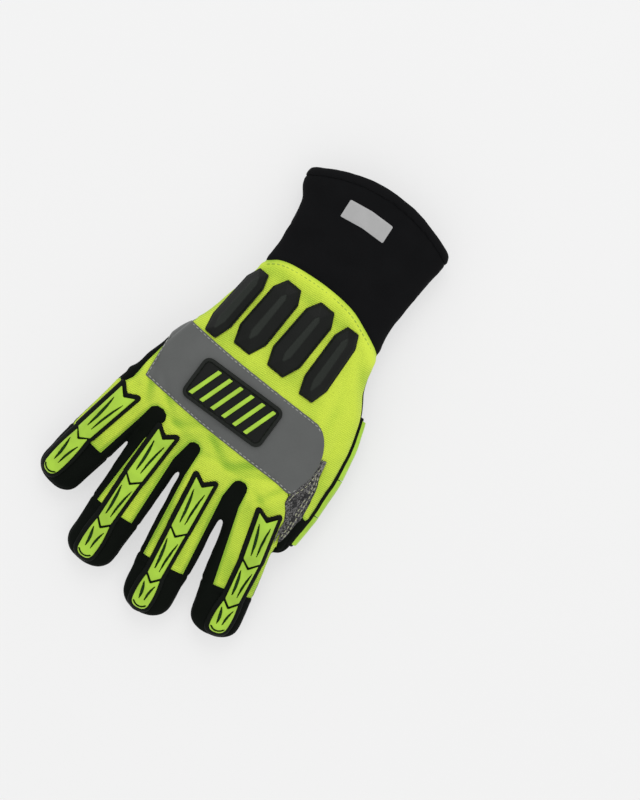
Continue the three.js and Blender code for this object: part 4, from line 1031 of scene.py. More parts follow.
class HeightField:
    """Heights of a mesh seen from straight above or straight below, on a grid in plan."""

    LOW = np.array([-90.0, -85.0])
    CELLS = (205, 300)
    START = 100.0  # millimetres, above or below the glove
    DRAPE_STEPS = 12
    EDGE_STEPS = 4

    def __init__(self, mesh, above):
        self.above = above
        bm = bmesh.new()
        bm.from_mesh(mesh)
        tree = BVHTree.FromBMesh(bm)
        bm.free()
        way = Vector((0, 0, -1 if above else 1))
        start = self.START if above else -self.START
        self.grid = np.full(self.CELLS, np.nan)
        for i in range(self.CELLS[0]):
            for j in range(self.CELLS[1]):
                hit = tree.ray_cast(Vector((self.LOW[0] + i, self.LOW[1] + j, start)), way)[0]
                if hit is not None:
                    self.grid[i, j] = hit.z
        self.seen = ~np.isnan(self.grid)
        self.spread_edges()

    def neighbours(self, *steps):
        """The grid shifted by each step along each of its sides."""
        return np.stack([np.roll(self.grid, step, axis) for axis in (0, 1) for step in steps])

    def on(self, point):
        """Whether a point in plan is over the glove."""
        i, j = np.round(np.asarray(point) - self.LOW).astype(int)
        return bool(self.seen[i - 1:i + 2, j - 1:j + 2].all())

    def bridge(self, reach):
        """Fills what is narrower than twice a reach, level with its lower side."""
        low = self.grid.min()
        self.grid[~self.seen] = low
        for widest in (np.max, np.min):
            for _ in range(reach):
                self.grid = widest(self.neighbours(1, 0, -1), axis=0)
        return self.blurred()

    def draped(self, slope):
        """Lets no height fall faster than a slope, as a stiff moulding does."""
        for _ in range(self.DRAPE_STEPS):
            self.grid = np.maximum(self.grid, self.neighbours(1, -1).max(axis=0) - slope)
        return self.blurred()

    def blurred(self):
        for _ in range(2):
            self.grid = self.neighbours(1, 0, -1).mean(axis=0)
        return self

    def spread_edges(self):
        """Points just beside the glove take the height of its edge."""
        for _ in range(self.EDGE_STEPS):
            near = self.neighbours(1, -1)
            known = ~np.isnan(near)
            total = np.where(known, near, 0).sum(axis=0) / np.maximum(known.sum(axis=0), 1)
            empty = np.isnan(self.grid) & known.any(axis=0)
            self.grid[empty] = total[empty]
        self.grid = np.nan_to_num(self.grid)

    def at(self, points):
        """Heights at points in plan."""
        place = np.asarray(points, float)[:, :2] - self.LOW
        limit = np.array(self.CELLS) - 2.0
        place = np.clip(place, 0, limit)
        cell = place.astype(int)
        fx, fy = (place - cell).T
        i, j = cell.T
        low = self.grid[i, j] * (1 - fx) + self.grid[i + 1, j] * fx
        high = self.grid[i, j + 1] * (1 - fx) + self.grid[i + 1, j + 1] * fx
        return low * (1 - fy) + high * fy


def creased_cloth():
    """The smooth skin with its seams pulled in and its folds."""
    mesh = surface("smooth").copy()
    co = coordinates(mesh)
    return set_coordinates(mesh, co + normals(mesh) * relief(co)[:, None])


def seen_from_above(name):
    return HeightField(surface(name), True)


# The smooth skin, the room for the hand, the finished cloth, its height fields and the spaces
# above and below the side seam.
SURFACES = {
    "smooth": lambda: glove_body(0.0, 0.0, mm("weave_step"), 8),
    "inner": lambda: glove_body(-mm("wall"), mm("wall") + HAND_ROOM, 2 * mm("weave_step"), 3),
    "cloth": creased_cloth,
    "top": lambda: seen_from_above("smooth"),
    "soft": lambda: seen_from_above("smooth").blurred(),
    "draped": lambda: seen_from_above("smooth").draped(DRAPE_SLOPE),
    "bridged": lambda: seen_from_above("cloth").bridge(BRIDGE_REACH),
    "bottom": lambda: HeightField(surface("cloth"), False),
    "above": lambda: beyond_seam(True),
    "below": lambda: beyond_seam(False),
}


@functools.cache
def surface(name):
    """A surface by its name, made once and shared by the operators."""
    return SURFACES[name]()


def bell(distance, width):
    """1 at a distance of 0, falling away softly over a width."""
    return np.exp(-((distance / width) ** 2))


def edge_drop(inside, rim):
    """1 at an edge, falling to 0 at a rim's width inside it."""
    return (1 - np.clip(inside / rim, 0, 1)) ** 2


def seam_valley(distance, depth, width):
    """A seam pulled in, with the cloth puffed a little on both sides of it."""
    rise, away, spread = SEAM_PUFF
    puff = rise * depth * bell(distance - away * width, spread * width)
    return -depth * bell(distance, width) + puff


def relief(co):
    """How far the cloth stands in or out at each point of its smooth skin."""
    plan = co[:, :2]
    side = co[:, 2] - seam_height(co[:, 1])
    on_top = side > 0
    height = seam_valley(distance_to(plan, wrist_line(), False), *WRIST_VALLEY)
    back = distance_to(plan, back_outline())
    height += np.where(on_top, seam_valley(back, *BACK_VALLEY), 0.0)
    for name in FINGERS:
        line = fingertip_outline(name)[:4]
        height += seam_valley(distance_to(plan, line, False), *TIP_VALLEY)
    on_hand = plan[:, 1] > wrist_line()[0][1] - SIDE_VALLEY_REACH
    height += np.where(on_hand, seam_valley(np.abs(side), *SIDE_VALLEY), 0.0)
    depth, width = HEM_VALLEY
    height -= depth * bell(distance_to(plan, hem_line(mm("hem_width")), False), width)
    ridge, ridge_away = FOLD_RIDGE
    for across, along, degrees, half, width, depth in FOLDS:
        offset = plan - hand_point((across, along))
        turn = math.radians(degrees)
        run = offset @ np.array([math.cos(turn), math.sin(turn)])
        over = offset @ np.array([-math.sin(turn), math.cos(turn)])
        over = over + FOLD_WAVE * np.sin(run / half * 2)
        fold = -bell(over, width) + ridge * bell(over - ridge_away * width, width)
        height += np.where(on_top, depth * bell(run, half) * fold, 0.0)
    for size, depth in DENTS:
        height += [noise.noise(Vector(point) / size) * depth for point in co]
    return height


def grown_skin(amount):
    """The cloth's skin moved out by an amount, or by one amount for each vertex."""
    mesh = surface("cloth").copy()
    co = coordinates(mesh)
    return set_coordinates(mesh, co + normals(mesh) * np.reshape(amount, (-1, 1)))


def layer(outline, low, high, rim, side):
    """A thin layer on the cloth inside an outline, with a round edge."""
    plan = coordinates(surface("cloth"))[:, :2]
    inside = np.where(within(plan, outline), distance_to(plan, outline), 0.0)
    lift = np.sqrt(1 - edge_drop(inside, rim))
    top = grown_skin(low + (high - low) * mix(EDGE_HEIGHT, 1.0, lift))
    if side == "below":
        co = coordinates(top)
        co[:, 2] = np.maximum(co[:, 2], mm("cloth_level") - high)
        set_coordinates(top, co)
    region = common(prism(outline), surface(side))
    return cut(common(top, region), grown_skin(low))


def moulded(outline, height, shape, lift, voxel=0.5, smoothing=3, field="top"):
    """A moulding over an outline in plan. shape gives its height at each point."""
    mesh = remeshed(prism(outline, 0.0, height), voxel, smoothing)
    co = coordinates(mesh)
    inside = distance_to(co[:, :2], outline)
    share = np.clip(co[:, 2] / height, 0, 1)
    co[:, 2] = share * shape(co[:, :2], inside) + lift
    if field == "draped":
        co[:, 2] += mix(surface("soft").at(co), surface(field).at(co), share)
    else:
        co[:, 2] += surface(field).at(co)
    return set_coordinates(mesh, co)


def add_piece(name, mesh, finish, *nodes, sharp=38.0):
    """A finished piece: in the row frame, in metres, riding on the frame in place of its nodes."""
    co = coordinates(mesh)
    set_coordinates(mesh, (co + origin()) * MM)
    mesh.materials.clear()
    mesh.materials.append(material(finish))
    mesh.shade_smooth()
    mesh.set_sharp_from_angle(angle=math.radians(sharp))
    mesh.name = name
    piece = bpy.data.objects.new(name, mesh)
    bpy.context.scene.collection.objects.link(piece)
    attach(piece, "root")
    if nodes:
        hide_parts(*nodes)
    return piece


# Materials


class Value:
    """A shader socket that Python arithmetic works on."""

    def __init__(self, finish, socket):
        self.finish = finish
        self.socket = socket

    def maths(self, operation, *others):
        node = self.finish.node("ShaderNodeMath", {"operation": operation}, self, *others)
        return Value(self.finish, node.outputs[0])

    def __add__(self, other):
        return self.maths("ADD", other)

    def __radd__(self, other):
        return self.maths("ADD", other)

    def __mul__(self, other):
        return self.maths("MULTIPLY", other)

    def __rmul__(self, other):
        return self.maths("MULTIPLY", other)

    def __sub__(self, other):
        return self.maths("SUBTRACT", other)

    def __rsub__(self, other):
        return (self * -1.0) + other

    def sine(self):
        return self.maths("SINE")

    def between(self, low, high):
        """0 below low, 1 above high and a straight rise between them."""
        node = self.finish.node(
            "ShaderNodeMapRange", {"clamp": True}, self, float(low), float(high), 0.0, 1.0
        )
        return Value(self.finish, node.outputs[0])


class Finish:
    """One material: its nodes and the shader that they feed."""

    # The sockets of a mix node that blends colours: its share, its two colours and its result.
    MIX_INPUTS = (0, 6, 7)
    MIX_OUTPUT = 2

    def __init__(self, name, roughness, **fixed):
        self.material = bpy.data.materials.new(name)
        self.material.use_nodes = True
        self.tree = self.material.node_tree
        self.shader = self.tree.nodes["Principled BSDF"]
        self.shader.inputs["Roughness"].default_value = roughness
        for key, value in fixed.items():
            self.shader.inputs[key.replace("_", " ")].default_value = value
        coordinate = self.node("ShaderNodeTexCoord", {})
        scaled = self.node(
            "ShaderNodeVectorMath", {"operation": "SCALE"}, coordinate.outputs["Object"], Scale=1 / MM
        )
        self.point = scaled.outputs[0]
        split = self.node("ShaderNodeSeparateXYZ", {}, self.point)
        self.x, self.y, self.z = (Value(self, socket) for socket in split.outputs)

    def node(self, kind, settings, *values, **named):
        """A node with its settings, then the values or links of its sockets."""
        node = self.tree.nodes.new(kind)
        for key, value in settings.items():
            setattr(node, key, value)
        for socket, value in zip(node.inputs, values):
            self.feed(socket, value)
        for key, value in named.items():
            self.feed(node.inputs[key], value)
        return node

    def feed(self, socket, value):
        """Links a value or another socket to a socket, or sets a plain value on it."""
        if isinstance(value, Value):
            value = value.socket
        if isinstance(value, bpy.types.NodeSocket):
            self.tree.links.new(value, socket)
        else:
            socket.default_value = value

    def noise(self, size, detail=2.0, stretch=None):
        """Cloudy variation from 0 to 1 with features of a size in millimetres."""
        point = self.point
        if stretch:
            point = self.node(
                "ShaderNodeVectorMath", {"operation": "MULTIPLY"}, point, stretch
            ).outputs[0]
        node = self.node("ShaderNodeTexNoise", {}, Vector=point, Scale=1 / size, Detail=detail)
        return Value(self, node.outputs["Fac"])

    def attribute(self, name):
        node = self.node("ShaderNodeAttribute", {"attribute_name": name})
        return Value(self, node.outputs["Fac"])

    def wave(self, value, pitch):
        """A wave from 0 to 1 with a pitch in millimetres."""
        return (value * (2 * math.pi / pitch)).sine() * 0.5 + 0.5

    def blend(self, share, first, second):
        """A colour between two others."""
        node = self.node("ShaderNodeMix", {"data_type": "RGBA"})
        for index, value in zip(self.MIX_INPUTS, (share, first, second)):
            self.feed(node.inputs[index], value)
        return node.outputs[self.MIX_OUTPUT]

    def done(self, base, bump=None, strength=0.3, distance=0.0003, rough=None):
        """Links the colour, bump and roughness, and gives the material."""
        self.tree.links.new(base, self.shader.inputs["Base Color"])
        if rough is not None:
            self.tree.links.new(rough.socket, self.shader.inputs["Roughness"])
        if bump is not None:
            node = self.node("ShaderNodeBump", {}, Strength=strength, Distance=distance, Height=bump)
            self.tree.links.new(node.outputs[0], self.shader.inputs["Normal"])
        return self.material


def knit_finish():
    finish = Finish("knit", 0.8, Sheen_Weight=0.12, Sheen_Roughness=0.5, Specular_IOR_Level=0.15)
    plain = finish.attribute("plain")
    shade = finish.attribute("shade")
    rows = finish.wave(finish.y + finish.noise(9.0) * 0.9, 1.08) * (1 - plain) + plain * 0.7
    loops = finish.wave(finish.x + finish.noise(7.0) * 0.6, 0.75)
    fuzz = finish.noise(0.35, 3.0)
    clouds = finish.noise(16.0, 2.0)
    height = rows * 0.8 + rows * loops * 0.3 + fuzz * 0.25
    # The shade attribute paints shade into the knit, green, and below 0 painted highlight, yellow.
    share = (rows * 0.62 + loops * 0.06 + fuzz * 0.3 + clouds * 0.5 - shade * 0.7).between(-0.15, 1.0)
    base = finish.blend(share, tint("knit_painted_shade"), tint("knit"))
    return finish.done(base, height, 0.65, 0.0004)


def fabric_finish(name, colour_name, pitch, strength):
    finish = Finish(name, 0.85, Sheen_Weight=0.015, Sheen_Roughness=0.4, Specular_IOR_Level=0.05)
    warp = finish.wave(finish.x, pitch)
    weft = finish.wave(finish.y, pitch)
    slope = finish.wave(finish.z, pitch)
    fuzz = finish.noise(0.3, 3.0)
    clouds = finish.noise(14.0, 2.0)
    height = warp * weft * 0.6 + slope * 0.25 + fuzz * 0.5
    share = (fuzz * 0.6 + clouds * 0.4).between(0.25, 0.85)
    base = finish.blend(share, tint(colour_name), tint(colour_name, 1.9))
    return finish.done(base, height, strength, 0.00025)


def lime_finish():
    finish = Finish("lime_rubber", 0.42, Specular_IOR_Level=0.25)
    carved = finish.attribute("carved")
    clouds = finish.noise(11.0, 2.0)
    grain = finish.noise(0.4, 2.0)
    shaded = finish.blend((clouds * 0.9).between(0.3, 0.75), tint("lime"), tint("lime", 0.74))
    # Painted shade: the grooves turn dark green by how deep they are carved.
    base = finish.blend(carved.between(0.03, 0.5), shaded, tint("lime_painted_shade"))
    rough = grain * 0.16 + clouds * 0.1 + 0.3
    return finish.done(base, grain + clouds * 0.5, 0.12, 0.0002, rough)


def rubber_finish(name, gloss):
    finish = Finish(name, 0.48, Specular_IOR_Level=gloss)
    crown = finish.attribute("crown")
    clouds = finish.noise(8.0, 2.0)
    grain = finish.noise(0.35, 2.0)
    # Painted highlight: where crown is set, on the ribs' flat tops and the plate's rim, the rubber
    # turns up to four times lighter; random clouds vary it too.
    share = (crown * 0.85 + clouds * 0.3 - 0.1).between(0.0, 1.0)
    base = finish.blend(share, tint("rubber"), tint("rubber", 4.0))
    rough = grain * 0.2 + clouds * 0.12 + 0.34
    return finish.done(base, grain, 0.15, 0.0002, rough)


def tape_finish():
    finish = Finish("reflective_tape", 0.42, Specular_IOR_Level=0.3)
    turned = finish.x * 0.9 + finish.y * 0.4
    other = finish.y * 0.9 - finish.x * 0.4
    grid = (finish.wave(turned, 0.7) * finish.wave(other, 0.7)).between(0.1, 0.7)
    clouds = finish.noise(16.0, 3.0)
    base = finish.blend(grid * 0.25 + clouds * 0.7, tint("tape"), tint("tape", 1.35))
    return finish.done(base, grid + clouds * 0.8, 0.12, 0.0002, clouds * 0.25 + 0.3)


def grip_finish():
    finish = Finish("grip_fabric", 0.8, Sheen_Weight=0.08, Specular_IOR_Level=0.15)
    fibres = finish.noise(0.75, 2.0, (1.0, 0.5, 1.0))
    crossed = finish.noise(0.7, 2.0, (0.45, 1.1, 1.0))
    clouds = finish.noise(6.0, 2.0)
    shade = finish.attribute("shade")
    # Painted shade: the shade attribute darkens the fabric, on the gusset.
    share = (fibres * 0.55 + crossed * 0.45 + clouds * 0.15 - shade * 0.135).between(0.47, 0.68)
    base = finish.blend(share, tint("grip_dark"), tint("grip"))
    return finish.done(base, fibres + crossed, 0.45, 0.0003)


def dot_finish():
    finish = Finish("grip_dot", 0.35, Specular_IOR_Level=0.3)
    grain = finish.noise(0.5, 2.0)
    base = finish.blend(grain, tint("dot", 0.4), tint("dot"))
    return finish.done(base, grain, 0.1, 0.0001)


def label_finish():
    finish = Finish("label", 0.5, Sheen_Weight=0.2)
    threads = finish.wave(finish.x + finish.y * 0.05, 0.45)
    rows = finish.wave(finish.y - finish.x * 0.05, 0.6)
    clouds = finish.noise(5.0, 3.0)
    base = finish.blend(clouds * 0.8 + threads * 0.2, tint("label"), tint("label", 1.2))
    return finish.done(base, threads * rows + clouds * 0.4, 0.25, 0.0002)


def thread_finish(name):
    finish = Finish(name, 0.6, Sheen_Weight=0.3)
    twist = finish.wave(finish.x + finish.y * 1.4, 0.4)
    base = finish.blend(twist * 0.6 + finish.noise(3.0) * 0.4, tint(name, 0.55), tint(name))
    return finish.done(base, twist, 0.4, 0.0001)


# Each finish: what makes its material, and the name of a slot for its pieces, which nothing reads.
FINISHES = {
    "knit": (knit_finish, "knit"),
    "fabric": (lambda: fabric_finish("black_fabric", "fabric", 0.6, 0.3), "black_fabric"),
    "neoprene": (lambda: fabric_finish("neoprene", "neoprene", 0.45, 0.18), "neoprene"),
    "lime": (lime_finish, "lime_rubber"),
    "rubber": (lambda: rubber_finish("black_rubber", 0.16), "black_rubber"),
    "base_rubber": (lambda: rubber_finish("base_rubber", 0.06), "black_rubber"),
    "tape": (tape_finish, "reflective_tape"),
    "grip": (grip_finish, "grip_fabric"),
    "dot": (dot_finish, "grip_fabric"),
    "label": (label_finish, "label_fabric"),
    "thread": (lambda: thread_finish("thread"), "grip_fabric"),
    "pale_thread": (lambda: thread_finish("pale_thread"), "reflective_tape"),
    "lime_thread": (lambda: thread_finish("lime_thread"), "knit"),
}


@functools.cache
def material(name):
    """A material by the name of its finish, made the first time that a piece needs it."""
    return FINISHES[name][0]()


def set_attribute(mesh, name, values):
    layer_data = mesh.attributes.new(name, "FLOAT", "POINT")
    layer_data.data.foreach_set("value", np.asarray(values, np.float32))


# Stitches and dots


def thread_form():
    """One stitch: a small capsule along X."""
    bm = bmesh.new()
    bmesh.ops.create_uvsphere(bm, u_segments=6, v_segments=5, radius=0.5)
    bmesh.ops.rotate(bm, verts=bm.verts, matrix=Matrix.Rotation(math.pi / 2, 3, "Y"))
    return to_mesh(bm)


def dot_form():
    """One grip dot: a low dome."""
    bm = bmesh.new()
    bmesh.ops.create_uvsphere(bm, u_segments=10, v_segments=7, radius=0.5)
    return to_mesh(bm)


def scattered(form, places):
    """One mesh with a copy of a form at each place."""
    bm = bmesh.new()
    for place in places:
        start = len(bm.verts)
        bm.from_mesh(form)
        bm.verts.ensure_lookup_table()
        bmesh.ops.transform(bm, matrix=place, verts=bm.verts[start:])
    return to_mesh(bm)


def walk(line, step, closed):
    """Points at even steps along a line, with the direction at each one."""
    steps = []
    left = step / 2
    for start, end in pairs(line, closed):
        run = np.linalg.norm(end - start)
        while left < run:
            steps.append((start + (end - start) * left / run, (end - start) / run))
            left += step
        left -= run
    return steps


def surface_frame(field, point, direction):
    """Place on the cloth, with X along a direction in plan and Z out of the cloth."""
    step = 0.8
    ahead = field.at([point + direction * step, point - direction * step])
    side_way = np.array([-direction[1], direction[0]])
    beside = field.at([point + side_way * step, point - side_way * step])
    x = Vector((*direction, (ahead[0] - ahead[1]) / (2 * step))).normalized()
    side = Vector((*side_way, (beside[0] - beside[1]) / (2 * step))).normalized()
    z = x.cross(side).normalized()
    if not field.above:
        z = -z
    y = z.cross(x)
    place = Matrix((x, y, z)).transposed().to_4x4()
    place.translation = Vector((*point, field.at([point])[0]))
    return place


def stitch_places(line, closed, field_name, lift, keep=None):
    """Where the stitches of a row go on a height field. keep says which of them stay."""
    field = surface(field_name)
    long, thick = mm("stitch_length"), mm("stitch_width")
    places = []
    for point, direction in walk(line, long + mm("stitch_gap"), closed):
        if not field.on(point) or keep and not keep(point):
            continue
        place = surface_frame(field, point, direction)
        place.translation += place.col[2].to_3d() * lift
        places.append(place @ Matrix.Diagonal((long, thick * 1.2, thick, 1)))
    return places


def wrist_stitches(row, field_name, lift):
    """Where the stitches go along one side of the wrist seam."""
    above_seam, start, end = row
    line = wrist_line(above_seam)
    return stitch_places(line, False, field_name, lift, lambda point: start < point[0] < end)


def dot_places(outline, thick, field_name, margin):
    """A staggered grid of grip dots that stay clear of an outline's stitches."""
    points = np.array(outline)
    low, high = points.min(axis=0), points.max(axis=0)
    pitch = mm("dot_pitch")
    first_x, first_y = np.floor(low / pitch) * pitch
    grid = []
    for y in np.arange(first_y, high[1], pitch):
        shift = pitch / 2 if round(y / pitch) % 2 else 0.0
        grid += [(x + shift, y) for x in np.arange(first_x, high[0], pitch)]
    grid = np.array(grid)
    clear = within(grid, outline) & (distance_to(grid, outline) > margin)
    field = surface(field_name)
    size = Matrix.Diagonal((mm("dot_width"), mm("dot_width"), 2 * mm("dot_height"), 1))
    places = []
    for point in grid[clear]:
        if not field.on(point):
            continue
        place = surface_frame(field, point, np.array([1.0, 0.0]))
        place.translation += place.col[2].to_3d() * thick
        if not field.above:
            place.translation.z = max(place.translation.z, mm("dot_height"))
        places.append(place @ size)
    return places


def add_stitches(name, places, finish):
    add_piece(name, scattered(thread_form(), places), finish)


def add_dots(name, places):
    add_piece(name, scattered(dot_form(), places), "dot")


# Pieces


def knit_painted_shade(co):
    """How far painted shade turns the knit green: in its folds, beside its seams and along the fingers.
    """
    plan = co[:, :2]
    valley = np.clip(-relief(co) / KNIT_RELIEF_DEPTH, *KNIT_RELIEF_LIMITS)
    seam = bell(distance_to(plan, back_outline()), KNIT_SEAM_WIDTH)
    start, length_of_rise = KNIT_FINGERS
    reach = np.clip((co[:, 1] / mm("hand_length") - start) / length_of_rise, 0, 1)
    drop = seam_height(co[:, 1]) + KNIT_SIDE_HEIGHT - co[:, 2]
    side = np.clip(drop / KNIT_SIDE_HEIGHT, 0, 1)
    shade = 0.85 * valley + 0.3 * seam + 0.36 * reach + 0.35 * side
    for across, along, radius, shade_weight in KNIT_PAINTED_LIGHT:
        offset = plan - hand_point((across, along))
        shade += shade_weight * bell(np.hypot(offset[:, 0], offset[:, 1]), radius)
    return np.clip(shade, *KNIT_SHADE_LIMITS)


def cloth_panels():
    """The cloth shell, cut into its sewn panels."""
    shell = cut(surface("cloth"), surface("inner"))
    cuff_side = common(shell, prism(cuff_outline()))
    add_piece("cuff_cloth", cut(cuff_side, prism(hem_outline())), "neoprene", "cuff")

    plan = coordinates(surface("cloth"))[:, :2]
    out = distance_to(plan, hem_line(mm("hem_width")), False)
    lift = mm("hem_proud") * np.sqrt(1 - edge_drop(out, HEM_EDGE))
    hem = common(cut(grown_skin(lift), surface("inner")), prism(hem_outline()))
    add_piece("cuff_hem_cloth", hem, "neoprene", "cuff_hem")

    rest = cut(shell, prism(cuff_outline()))
    for name in FINGERS:
        tip = prism(fingertip_outline(name))
        node = f"fingertip_{name}"
        add_piece(node + "_cloth", common(rest, tip), "fabric", node)
        rest = cut(rest, tip)
    around = common(prism(thumb_tip_outline()), thumb(THUMB_MARGIN))
    add_piece("thumb_tip_cloth", common(rest, around), "fabric", "thumb_tip")
    rest = cut(rest, around)

    back = prism(back_outline())
    upper = common(rest, surface("above"))
    yellow = common(upper, back)
    co = coordinates(yellow)
    from_wrist = distance_to(co[:, :2], wrist_line(), False)
    strip, softness = PLAIN_STRIP
    set_attribute(yellow, "plain", np.clip((strip - from_wrist) / softness, 0, 1))
    set_attribute(yellow, "shade", knit_painted_shade(co))
    add_piece("back_panel_cloth", yellow, "knit", "back_panel")
    dark = cut(upper, back)
    for row in FOURCHETTES:
        wedge = prism(between_fingers(row))
        node = f"fourchette_{row[0]}_{row[1]}"
        add_piece(node + "_cloth", common(dark, wedge), "fabric", node)
        dark = cut(dark, wedge)
    palm = joined(common(rest, surface("below")), dark)
    add_piece("palm_panel_cloth", palm, "fabric", "palm_panel")


def band_outline():
    line = curve(hand_points(BAND_LINE[1:]))
    half = np.array([0.0, mm("band_width") / 2])
    top = [point + half for point in line]
    bottom = [point - half for point in line]
    end = hand_point(BAND_LINE[0])
    nose = [
        np.array([mix(end[0], bottom[0][0], out), end[1] + mm("band_width") * along])
        for out, along in BAND_NOSE
    ]
    nose = curve([bottom[0], *nose, top[0]])[1:-1]
    return [*bottom, *top[::-1], *nose[::-1]]


def band_piece():
    mesh = layer(band_outline(), 0.0, mm("band_thickness"), 0.9, "above")
    add_piece("reflective_band_tape", mesh, "tape", "reflective_band")


def plate_piece():
    """The knuckle plate: a rim around a sunk field."""
    size = (mm("plate_length"), mm("plate_width"))
    outer = rounded_box(*size, mm("plate_corner"), hand_point(PLATE_PLACE), PLATE_TURN)
    high, rim, recess = mm("plate_height"), mm("plate_rim"), mm("plate_recess")

    def dish(points, inside):
        sunk = np.clip((inside - rim) / PLATE_STEP + 0.5, 0, 1)
        return high - 0.35 * edge_drop(inside, 0.8) - recess * sunk

    seat = mm("band_thickness") - PLATE_SINK
    mesh = moulded(outer, high, dish, seat, voxel=0.42, smoothing=2)
    inside = distance_to(coordinates(mesh)[:, :2], outer)
    # Painted highlight on the plate's rim.
    set_attribute(mesh, "crown", np.where(inside < rim, 0.35, 0.0))
    add_piece("knuckle_plate_rubber", mesh, "rubber", "knuckle_plate")


def plate_bars():
    """The row of slanted bars in the knuckle plate's field."""
    centre = hand_point(PLATE_PLACE)
    rim, recess = mm("plate_rim"), mm("plate_recess")
    lift = mm("band_thickness") - PLATE_SINK + mm("plate_height") - recess - PLATE_BAR_SINK
    high = recess + 2 * PLATE_BAR_SINK
    turn = math.radians(PLATE_TURN)
    right = np.array([math.cos(turn), math.sin(turn)])
    up = np.array([-math.sin(turn), math.cos(turn)])
    inner_length = mm("plate_length") - 2 * rim
    inner_width = mm("plate_width") - 2 * rim
    pitch = inner_length / (PLATE_BARS + PLATE_ENDS)
    reach = (inner_width - mm("plate_bar")) / 2
    slope = PLATE_BAR_SLOPE * inner_width
    half = mm("plate_bar") / 2
    for bar in range(PLATE_BARS):
        middle = (bar - (PLATE_BARS - 1) / 2) * pitch
        corners = [
            (middle - slope / 2 - half, -reach),
            (middle - slope / 2 + half, -reach),
            (middle + slope / 2 + half, reach),
            (middle + slope / 2 - half, reach),
        ]
        outline = [centre + right * x + up * y for x, y in corners]
        mesh = moulded(outline, high, lambda points, inside: high - 0.05, lift, voxel=0.32, smoothing=2)
        node = f"plate_bar_{bar + 1}"
        add_piece(node + "_rubber", mesh, "lime", node)


def rib_pieces():
    for index, (across, along, lean, width) in enumerate(RIBS, 1):
        half = mm("rib_width") * width / 2
        turn = math.radians(-lean)
        centre = hand_point((across, along))
        right = [np.array([out * half, share * mm("rib_length")]) for out, share in RIB_OUTLINE]
        left = [point * (-1, 1) for point in reversed(right)]
        spin = np.array([[math.cos(turn), -math.sin(turn)], [math.sin(turn), math.cos(turn)]])
        outline = [centre + spin @ point for point in [*right, *left]]
        high = mm("rib_height")
        plateau = half - RIB_TOP
        top = [(plateau, RIB_BREAK_LEVEL), (plateau + RIB_BREAK, 1.0)]
        steps, levels = zip(*RIB_FOOT, *top)

        def roof(points, inside, steps=steps, levels=levels):
            return high * np.interp(inside, steps, levels)

        mesh = moulded(outline, high, roof, -RIB_SINK, smoothing=2, field="draped")
        inside = distance_to(coordinates(mesh)[:, :2], outline)
        # Painted highlight on the rib's flat top.
        set_attribute(mesh, "crown", np.clip((inside - plateau) / RIB_BREAK, 0, 1))
        node = f"hand_rib_{index}"
        add_piece(node + "_rubber", mesh, "rubber", node, sharp=25.0)


def guard_point(name, along, out):
    """A point beside a guard's middle line, out in millimetres."""
    stops, sides = GUARDS[name]
    return finger_point(name, along, np.interp(along, stops, sides) + out / finger_axes(name)[4])


def segment_half(name, part, share, edge):
    """Half the width of a segment at a share of its length, with an edge around it."""
    last = part == len(GUARDS[name][0]) - 2
    low, high = SEGMENT_WIDTHS[-1 if last else part]
    bulge = SEGMENT_BULGE * math.sin(math.pi * min(max(share, 0.0), 1.0)) if last else 0.0
    return (mix(low, high, share) + bulge) * mm("guard_width") / 2 + edge


def segment_lines(name, part, edge):
    """The heel, right side, nose and left side of a segment, round at the fingertip."""
    stops = GUARDS[name][0]
    reach = finger_axes(name)[3]
    low, high = stops[part], stops[part + 1]
    last = part == len(stops) - 2
    notch, grow = mm("guard_notch") / reach, edge / reach
    right, left = [], []
    for share in np.linspace(0, NOSE_START if last else 1, SEGMENT_STEPS):
        half = segment_half(name, part, share, edge)
        side_along = mix(low - grow, high, share)
        right.append(guard_point(name, side_along, half))
        left.append(guard_point(name, side_along, -half))
    nose = [] if last else [guard_point(name, high + notch, 0)]
    for turn in np.radians(NOSE_TURNS if last else ()):
        along = side_along + (high + grow - side_along) * math.sin(turn) ** NOSE_ROUNDNESS
        way = math.copysign(abs(math.cos(turn)) ** NOSE_ROUNDNESS, math.cos(turn))
        nose.append(guard_point(name, along, half * way))
    return guard_point(name, low - grow + notch, 0), right, nose, left[::-1]


def segment_outline(name, part, edge):
    """One segment: notched at its start, pointed at its end, and round at the fingertip."""
    heel, right, nose, left = segment_lines(name, part, edge)
    return [heel, *right, *nose, *left]


def base_outline(name):
    """The black base around all the segments of a guard, with round corners."""
    edge, notch = mm("guard_rim"), mm("guard_notch")
    start = GUARDS[name][0][0]
    reach = finger_axes(name)[3]
    half = segment_half(name, 0, 0.0, 0.0)
    right, left = [], []
    for turn in np.linspace(math.pi + math.atan2(half, notch), 2 * math.pi, 7):
        along = start + edge * math.sin(turn) / reach
        out = half + edge * math.cos(turn)
        right.append(guard_point(name, along, out))
        left.insert(0, guard_point(name, along, -out))
    for part in range(len(GUARDS[name][0]) - 1):
        _, right_side, nose, left_side = segment_lines(name, part, edge)
        if part == 0:
            right_side, left_side = right_side[1:], left_side[:-1]
        right += right_side
        left = left_side + left
    inner = start + (notch - edge * math.hypot(half, notch) / half) / reach
    outline = [guard_point(name, inner, 0), *right, *nose, *left]
    return [point + finger_axes(name)[2] * mm("guard_offset") for point in outline]


def groove(away, half):
    """The section of a groove: 1 over its flat bottom, 0 outside its walls."""
    return np.clip(1.2 - (away / half) ** 2, 0, 1)


